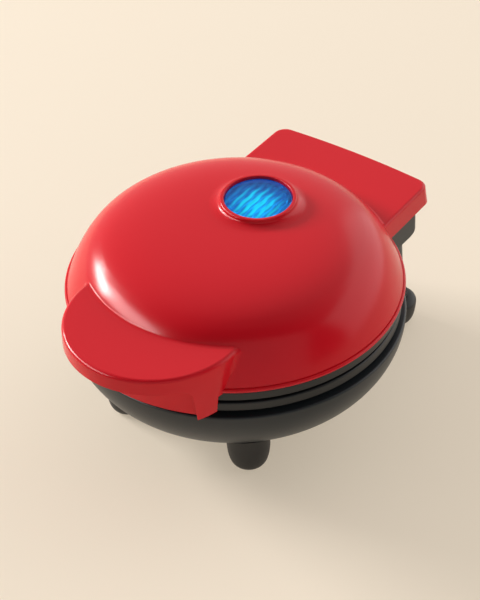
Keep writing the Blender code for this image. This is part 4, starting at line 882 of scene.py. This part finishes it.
def dome_height_at(radius):
    """Height of the dome's outside at a radius."""
    return np.interp(radius, dome_line[::-1, 0], dome_line[::-1, 1])


def dome_radius_at(height):
    """Radius of the dome's outside at a height, or of its foot below that."""
    return np.interp(height, dome_line[:, 1], dome_line[:, 0])


def nested_rings(share):
    """Circles about places that move from the lens to the dome's middle as share goes from 0 to 1.

    Each circle's points lie on the dome, at its height for their distance from the Z axis.
    """
    ease = share * share * (3 - 2 * share)
    radius = (nest_inner + (nest_outer - nest_inner) * share)[:, None]
    middle = (lens_reach * (1 - ease))[:, None]
    angle = full_turn()
    x = radius * np.cos(angle)
    y = middle + radius * np.sin(angle)
    return np.stack((x, y, dome_height_at(np.hypot(x, y))), axis=-1)


def collar_rings():
    """Circles round the lens: a hollow quarter ellipse lifts the dome to the ring with its round edges."""
    turn = quarter_turn(13)[:, None]
    radius = lens_flare_radius + (lens_ring_radius - lens_flare_radius) * np.sin(turn)
    rise = 1 - np.cos(turn)
    angle = full_turn()
    x = radius * np.cos(angle)
    y = lens_reach + radius * np.sin(angle)
    dome = dome_height_at(np.hypot(x, y))
    flare = np.stack((x, y, dome + (lens_ring_top - lens_ring_edge - dome) * rise), axis=-1)
    outer = edge_turn(lens_ring_radius, lens_ring_top, lens_ring_edge)[1:]
    inner = edge_turn(lens_hole_radius, lens_ring_top, lens_ring_edge / 2, steps=5, inner=True)
    well = [(lens_hole_radius, lens_well_height), (0, lens_well_height)]
    ring = turned_grid(np.vstack((outer, inner, well)), (0, lens_reach))
    return np.concatenate((flare, ring))


def dome_solid():
    """Outside of the dome from the rim up, across the nested circles and down the well of the lens."""
    side = dome_outline(0)
    side = side[side[:, 0] > nest_outer + lap]
    bead = arc((lid_radius - rim_bead, lid_edge_height + rim_bead + rim_bead_rise), rim_bead, 80, -60,
               steps=12)
    rim = np.vstack(([(0, lid_edge_height), (lid_radius - rim_bead, lid_edge_height)], bead[::-1],
                     [(dome_foot_radius - rim_groove / 2, dome_foot_height - rim_groove)], side))
    return solid("dome", np.concatenate((turned_grid(rim), nested_rings(np.linspace(1, 0, 40)),
                                         collar_rings())))


def handle_ring(height, inset, steps=60):
    """Plan of the handle at one height: a front arc, and a hollow blend to the dome on both sides."""
    middle = (0, handle_radius - handle_front)
    draft_start = handle_top_height - handle_band
    draft = max(0, draft_start - height) / (draft_start - skirt_bottom) * handle_draft
    radius = handle_radius - draft - inset
    blend = handle_blend + draft + inset
    reach = dome_radius_at(height) + handle_blend
    span = handle_radius + handle_blend
    y = (span * span - reach * reach - middle[1] ** 2) / (-2 * middle[1])
    x = math.sqrt(reach * reach - y * y)
    toward_handle = math.degrees(math.atan2(middle[1] - y, -x)) % 360
    toward_dome = math.degrees(math.atan2(-y, -x)) % 360
    right = arc((x, y), blend, toward_handle, toward_dome, corner_steps)
    start = math.degrees(math.atan2(y - middle[1], x))
    front = arc(middle, radius, -180 - start, start, steps)
    back = right[-1, 1] + dome_foot_radius / 4
    ring = np.vstack((right[::-1] * (-1, 1), front[1:-1], right,
                      [(right[-1, 0] / 2, back), (-right[-1, 0] / 2, back)]))
    return level_ring(ring, height)


def cover_ring(height, inset):
    """Plan of the hinge cover at one height: bowed rear edge, round corners, a little wider at the dome."""
    half = cover_half_width - inset
    rear = cover_rear - inset - cover_bow
    bow_radius = (half * half + cover_bow * cover_bow) / (2 * cover_bow)
    span = math.degrees(math.asin((half - cover_corner) / bow_radius))
    bow = arc((0, rear + cover_bow - bow_radius), bow_radius, 90 - span, 90 + span, steps=40)
    corner = arc((bow[0, 0], bow[0, 1] - cover_corner), cover_corner, 0, 90 - span / 2, steps=14)
    flare = half + cover_flare
    ring = np.vstack(([(-flare, cover_front), (flare, cover_front)], corner, bow[1:-1],
                      (corner * (-1, 1))[::-1]))
    return level_ring(ring, height)


def edge_levels(top, edge, steps=8):
    """Heights and insets that round an upper edge by a quarter circle."""
    turn = quarter_turn(steps + 1)
    return list(zip(top - edge * (1 - np.sin(turn)), edge * (1 - np.cos(turn))))


def fillet_ring(name, height):
    """Hollow fillet round the dome: it leaves the flat top at its foot and runs up along the dome's side."""
    foot = dome_radius_at(height)
    top = dome_radius_at(height + meeting_fillet)
    sink = 0.05 * mm
    hollow = bend((foot + meeting_fillet, height), (foot + meeting_fillet / 3, height),
                  (top + meeting_fillet / 6, height + meeting_fillet / 3), (top, height + meeting_fillet),
                  steps=8)
    outline = np.vstack((hollow, [(top - lap, height + meeting_fillet), (foot - lap, height - lap),
                                  (foot + meeting_fillet, height - sink)]))
    return solid(name, turned_grid(outline), loop=True)


def lid_mesh():
    """Dome, handle and cover joined as solids, then hollowed, cut open below and given the lamp's posts."""
    levels = [(skirt_bottom, 0), (handle_top_height - handle_band, 0)]
    levels += edge_levels(handle_top_height, handle_edge)
    handle = solid("handle", [handle_ring(height, inset) for height, inset in levels], caps=True)
    levels = [(cover_bottom_height, 0)]
    levels += [(height, inset + cover_draft) for height, inset in edge_levels(cover_top_height, cover_edge)]
    cover = solid("cover", [cover_ring(height, inset) for height, inset in levels], caps=True)

    # Small fillets where the flat tops run into the dome, trimmed to the handle and the cover
    fillets = []
    for name, ring_at, height, inset in (("handle", handle_ring, handle_top_height, handle_edge),
                                         ("cover", cover_ring, cover_top_height, cover_draft + cover_edge)):
        trim = prism(name + "_trim", ring_at(height, inset)[:, :2], 2, height - overrun, height + overrun)
        fillets.append(worked(fillet_ring(name + "_fillet", height), "INTERSECT", trim))
    shell = joined(dome_solid(), handle, cover, *fillets)

    # Inside of the dome, and the room that the plates and the bowl take inside the handle's skirt
    profile = np.vstack(([(0, skirt_bottom - overrun), (skirt_inner, skirt_bottom - overrun),
                          (skirt_inner, lid_edge_height), (dome_foot_radius - lid_wall, lid_edge_height)],
                         dome_outline(lid_wall)))
    shell = cut(shell, solid("hollow", turned_grid(profile)))

    # Inside of the hinge cover, open below and towards the dome
    corner = cover_corner - cover_side_wall
    cavity = []
    for height, inset in ((lid_edge_height - overrun, 0), (cover_bottom_height, 0),
                          (cover_top_height - cover_side_wall, cover_draft)):
        half = cover_half_width - cover_side_wall - inset
        rear = cover_rear - cover_bow - cover_side_wall - inset
        cavity.append(level_ring(half_rounded(half, cover_cavity_front, rear, corner), height))
    shell = cut(shell, solid("cavity", cavity, caps=True))

    # Finger recess under the handle: open front, and a pocket behind the band
    band_bottom = handle_top_height - handle_band
    skirt_outer = skirt_inner + skirt_wall
    opening = half_rounded(recess_half_width, skirt_bottom - overrun, band_bottom, recess_corner)
    front = prism("front", opening, 1, -handle_front - overrun, -skirt_outer / 2)
    pocket = prism("pocket", handle_ring(band_bottom, handle_wall)[:, :2], 2, band_bottom - lap,
                   handle_top_height - handle_wall)
    span = block("span", (-recess_half_width, -handle_front, band_bottom - overrun),
                 (recess_half_width, 0, handle_top_height))
    front = joined(front, worked(pocket, "INTERSECT", span))
    front = cut(front, post("skirt", skirt_outer, skirt_bottom - 2 * overrun, handle_top_height + overrun,
                            steps=turn_steps))
    shell = cut(shell, front)

    # Ears of the handle end short beside the plates
    ears = []
    for way in (-1, 1):
        low, high = sorted((way * ear_half_width, way * (lid_radius + overrun)))
        ears.append(block("ear", (low, -handle_front, skirt_bottom - overrun),
                          (high, -skirt_inner / 2, lid_edge_height)))
    shell = cut(shell, *ears)

    # Posts for the lamp's housing
    places = [(way * lamp_post_reach, lens_reach) for way in (-1, 1)]
    post_top = dome_top_height - lid_wall / 2
    shell = joined(shell, *[post("lamp_post", lamp_post_radius, lamp_post_bottom, post_top, place)
                            for place in places])
    return cut(shell, *[post("pilot", screw_hole_radius, lamp_post_bottom - overrun,
                             lamp_pilot_top, place) for place in places])


red_plastic = living_material("red_plastic", (0.70, 0.0062, 0.0168), 0.22,
                              patches=(0.02, 0.06, 30.0), grain=(1500.0, 0.0015 * mm),
                              Specular_IOR_Level=0.27)
lid = finished(lid_mesh(), red_plastic)
lid.name = "lid_shell_moulding"
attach(lid, "lid")
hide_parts("lid_shell")


# Lamp: a small lamp on a board in a white housing, screwed under the dome.
# Over it sits the lens, a clear blue cap with wavy ribs under its face, and the cap's emission is a painted
# glow that stands in for the lamp's light through the ribs.
housing_white = living_material("housing_white", (0.8, 0.8, 0.78), 0.4,
                                patches=(0.03, 0.1, 100.0), grain=(4000.0, 0.01 * mm))
board_green = living_material("board_green", (0.02, 0.12, 0.05), 0.35,
                              patches=(0.1, 0.15, 300.0), grain=(3000.0, 0.01 * mm))
lamp_clear = living_material("lamp_clear", (0.7, 0.85, 0.95), 0.15,
                             patches=(0.03, 0.1, 300.0), grain=(3000.0, 0.01 * mm))
dressed(housing_white, "lamp_housing")
dressed(board_green, "lamp_board")
dressed(lamp_clear, "indicator_lamp")

lens_low, lens_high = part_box("indicator_lens")
lens_radius = 12.5 * mm
lens_flange_thickness = 1.0 * mm
lens_wall = 1.6 * mm
lens_crown = 0.6 * mm
lens_edge = 0.5 * mm
lens_rib_pitch = 3.0 * mm
lens_rib_depth = 0.6 * mm
lens_rib_wave = 0.14 * mm
lens_wave_length = 7.0 * mm
lens_rows = 60
# The lens's glow is painted light: streaks of light along the ribs, a bright place and dark shade towards
# the rear are painted into the cap's emission.
painted_glow_place = (1.5 * mm, -3.5 * mm, 0.0)     # brightest place of the painted glow, from the middle of the lens
painted_glow_peak = 1.2
painted_groove_glow = 0.15                          # share of the painted glow that is left between two ribs
painted_glow_blotch_scale = 260.0
painted_glow_blotch_least, painted_glow_blotch_range = 0.7, 0.6
painted_glow_colours = ((0.0, (0.0, 0.025, 0.11)), (0.35, (0.0, 0.17, 0.4)), (0.7, (0.0, 0.75, 0.95)))


def lens_mesh():
    """Cap of the lens: turned outside, and an inner roof whose height follows a cosine across the ribs.

    The ribs run along Y, each swings sideways with a sine of y, and they fade out at the inner wall.
    """
    flange_top = lens_low.z + lens_flange_thickness
    inner = lens_radius - lens_wall
    edge = edge_turn(lens_radius, lens_high.z - lens_crown, lens_edge, steps=5)
    share = np.linspace(1, 0, 24)[1:, None]
    crown = np.hstack(((lens_radius - lens_edge) * share, lens_high.z - lens_crown * share ** 2))
    outside = np.vstack(([(inner, lens_low.z), (lens_high.x, lens_low.z), (lens_high.x, flange_top),
                          (lens_radius, flange_top)], edge, crown))
    roof = lens_high.z - lens_crown - lens_wall
    radius = np.linspace(0, inner, lens_rows)
    under = turned_grid(np.column_stack((radius, np.full(lens_rows, roof))), (0, lens_reach))
    x, y = under[..., 0], under[..., 1] - lens_reach
    swing = lens_rib_wave * np.sin(math.tau * y / lens_wave_length)
    fade = np.clip((inner - np.hypot(x, y)) / lens_rib_depth, 0, 1)
    under[..., 2] -= lens_rib_depth * (0.5 + 0.5 * np.cos(math.tau * (x + swing) / lens_rib_pitch)) * fade
    return solid("indicator_lens_cap", np.concatenate((turned_grid(outside, (0, lens_reach)), under)),
                 loop=True)


def colour_ramp(tree, factor, stops):
    """Output of a colour ramp that factor feeds, with (position, colour) stops; it starts with two."""
    colour = add_node(tree, "ValToRGB", {"Fac": factor})["Color"]
    placed = colour.node.color_ramp.elements
    for number, (position, shade) in enumerate(stops):
        stop = placed[number] if number < 2 else placed.new(position)
        stop.position = position
        stop.color = (*shade, 1.0)
    return colour


def painted_rib_glow():
    """Painted glow that stands in for the lamp's light: a cosine across the ribs times a falloff with
    distance from the painted brightest place.
    """
    group, given, taken = new_group(
        "painted_rib_glow",
        [("Vector", "Vector", None), ("Pitch", "Float", lens_rib_pitch), ("Wave", "Float", lens_rib_wave),
         ("Wave Length", "Float", lens_wave_length), ("Reach", "Float", lens_radius)],
        [("Colour", "Color")])
    place = add_node(group, "SeparateXYZ", {"Vector": given["Vector"]})
    turn = math_of(group, "MULTIPLY", math_of(group, "DIVIDE", place["Y"], given["Wave Length"]), math.tau)
    swing = math_of(group, "SINE", turn)
    across = math_of(group, "MULTIPLY_ADD", swing, given["Wave"], place["X"])
    turn = math_of(group, "MULTIPLY", math_of(group, "DIVIDE", across, given["Pitch"]), math.tau)
    ridge = math_of(group, "MULTIPLY_ADD", math_of(group, "COSINE", turn), 0.5, 0.5)
    ridge = math_of(group, "MULTIPLY_ADD", ridge, 1 - painted_groove_glow, painted_groove_glow)
    away = add_node(group, "VectorMath", {0: given["Vector"], 1: painted_glow_place}, operation="DISTANCE")["Value"]
    near = math_of(group, "SUBTRACT", painted_glow_peak, math_of(group, "DIVIDE", away, given["Reach"]))
    painted_blotch = add_node(group, "TexNoise", {"Vector": given["Vector"], "Scale": painted_glow_blotch_scale, "Detail": 2.0})
    painted_blotch = math_of(group, "MULTIPLY_ADD", painted_blotch["Fac"], painted_glow_blotch_range, painted_glow_blotch_least)
    painted_glow_level = math_of(group, "MULTIPLY", math_of(group, "MULTIPLY", ridge, near), painted_blotch, clamp=True)
    group.links.new(colour_ramp(group, painted_glow_level, painted_glow_colours), taken["Colour"])
    return group


# The cap's emission is painted light: the painted rib glow, not a lit lamp, makes the cap glow.
blue_glass, blue_tree, blue_shader = new_material(
    "blue_glass", Base_Color=(0.0, 0.14, 0.38, 1.0), Roughness=0.04, Transmission_Weight=1.0, IOR=1.28,
    Specular_IOR_Level=0.12, Emission_Strength=0.75)
coords = add_node(blue_tree, "TexCoord", {})
centred = add_node(blue_tree, "Mapping", {"Vector": coords["Object"],
                                          "Location": (0.0, -lens_reach, -lens_high.z)})
painted_glow = add_node(blue_tree, "Group", {"Vector": centred["Vector"]}, node_tree=painted_rib_glow())
blue_tree.links.new(painted_glow["Colour"], blue_shader.inputs["Emission Color"])
lens = finished(lens_mesh(), blue_glass, crease=40)
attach(lens, "lid")
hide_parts("indicator_lens")


# Room: a pale cream floor under a soft sky, with a broad window light at the left
# and the camera at the photograph's angle.
floor_half = 2.0
cream_share = 0.4       # of plain cream in the floor as it is seen, which keeps its shadows pale
floor = new_piece("floor", [(-floor_half, -floor_half, 0), (floor_half, -floor_half, 0),
                            (floor_half, floor_half, 0), (-floor_half, floor_half, 0)], [(0, 1, 2, 3)])
floor_paint = living_material("floor_paint", (0.9, 0.8, 0.68), 0.85,
                              patches=(0.015, 0.02, 3.0), grain=(600.0, 0.01 * mm))
floor_tree = floor_paint.node_tree
floor_shader = floor_tree.nodes["Principled BSDF"].outputs["BSDF"]
light_path = add_node(floor_tree, "LightPath", {})
seen = light_path["Is Camera Ray"]
for ray in ("Is Glossy Ray", "Is Transmission Ray"):
    seen = math_of(floor_tree, "ADD", seen, light_path[ray], clamp=True)
cream = add_node(floor_tree, "Emission", {"Color": (1.0, 0.86, 0.67, 1.0)})
seen_floor = add_node(floor_tree, "MixShader", {0: math_of(floor_tree, "MULTIPLY", seen, cream_share),
                                                1: floor_shader, 2: cream["Emission"]})
floor_tree.links.new(seen_floor["Shader"], floor_tree.nodes["Material Output"].inputs["Surface"])
floor.data.materials.append(floor_paint)


def direction(azimuth, elevation):
    """Unit direction: azimuth in degrees from -Y towards +X, elevation up from the floor."""
    turn, rise = math.radians(azimuth), math.radians(elevation)
    return np.array((math.sin(turn) * math.cos(rise), -math.cos(turn) * math.cos(rise), math.sin(rise)))


light_distance = 2.0
light_aim = (0.0, 0.0, 0.05)


def soft_light(name, azimuth, elevation, width, height, watts, colour):
    """Rectangular light at a distance in some direction, turned to face the middle of the object."""
    lamp = bpy.data.lights.new(name, "AREA")
    lamp.shape = "RECTANGLE"
    lamp.size = width
    lamp.size_y = height
    lamp.energy = watts
    lamp.color = colour
    back = direction(azimuth, elevation)
    right = np.cross((0, 0, 1), back)
    right /= np.linalg.norm(right)
    turn = Matrix(np.column_stack((right, np.cross(back, right), back)).tolist()).to_4x4()
    holder = bpy.data.objects.new(name, lamp)
    holder.matrix_world = Matrix.Translation(back * light_distance + light_aim) @ turn
    bpy.context.scene.collection.objects.link(holder)
    return holder


window = soft_light("window", -52, 30, width=1.9, height=0.62, watts=46.0, colour=(1.0, 0.98, 0.95))
window.visible_diffuse = False      # it only shows as the broad gleam in the gloss
soft_light("window_core", -83, 22, width=0.8, height=0.4, watts=42.0, colour=(1.0, 0.97, 0.93))
soft_light("back_fill", 150, 20, width=3.4, height=1.6, watts=21.0, colour=(1.0, 0.98, 0.96))
soft_light("front_fill", 42, 20, width=3.4, height=1.8, watts=9.0, colour=(1.0, 0.98, 0.96))

# Sky: dark on the side away from its bright direction, and nearly white towards it
sky_bright_side = direction(-150, 10)
sky_colours = ((0.35, (0.05, 0.05, 0.05)), (0.55, (0.38, 0.37, 0.36)), (0.75, (0.85, 0.83, 0.8)),
               (1.0, (1.0, 0.98, 0.95)))
sky_strength = 0.75
world = bpy.data.worlds.new("soft_sky")
bpy.context.scene.world = world
world.use_nodes = True
sky = world.node_tree
coords = add_node(sky, "TexCoord", {})
toward = add_node(sky, "VectorMath", {0: coords["Generated"], 1: sky_bright_side.tolist()},
                  operation="DOT_PRODUCT")
share = math_of(sky, "MULTIPLY_ADD", toward["Value"], 0.5, 0.5)
background = sky.nodes["Background"].inputs
sky.links.new(colour_ramp(sky, share, sky_colours), background["Color"])
background["Strength"].default_value = sky_strength

# Camera: its place and its three axes
camera_place = (0.50109, -0.67283, 0.72639)
camera_right = (0.816126, 0.577205, -0.027808)
camera_up = (-0.347582, 0.528760, 0.774338)
camera_back = (0.461655, -0.622292, 0.632161)
camera_data = bpy.data.cameras.new("camera")
camera_data.sensor_width = 36.0     # mm, as its focal length is
camera_data.lens = 173.63
camera = bpy.data.objects.new("camera", camera_data)
camera.matrix_world = Matrix.Translation(camera_place) @ Matrix(
    tuple(zip(camera_right, camera_up, camera_back))).to_4x4()
bpy.context.scene.collection.objects.link(camera)
bpy.context.scene.camera = camera
bpy.context.scene.view_settings.view_transform = "Standard"
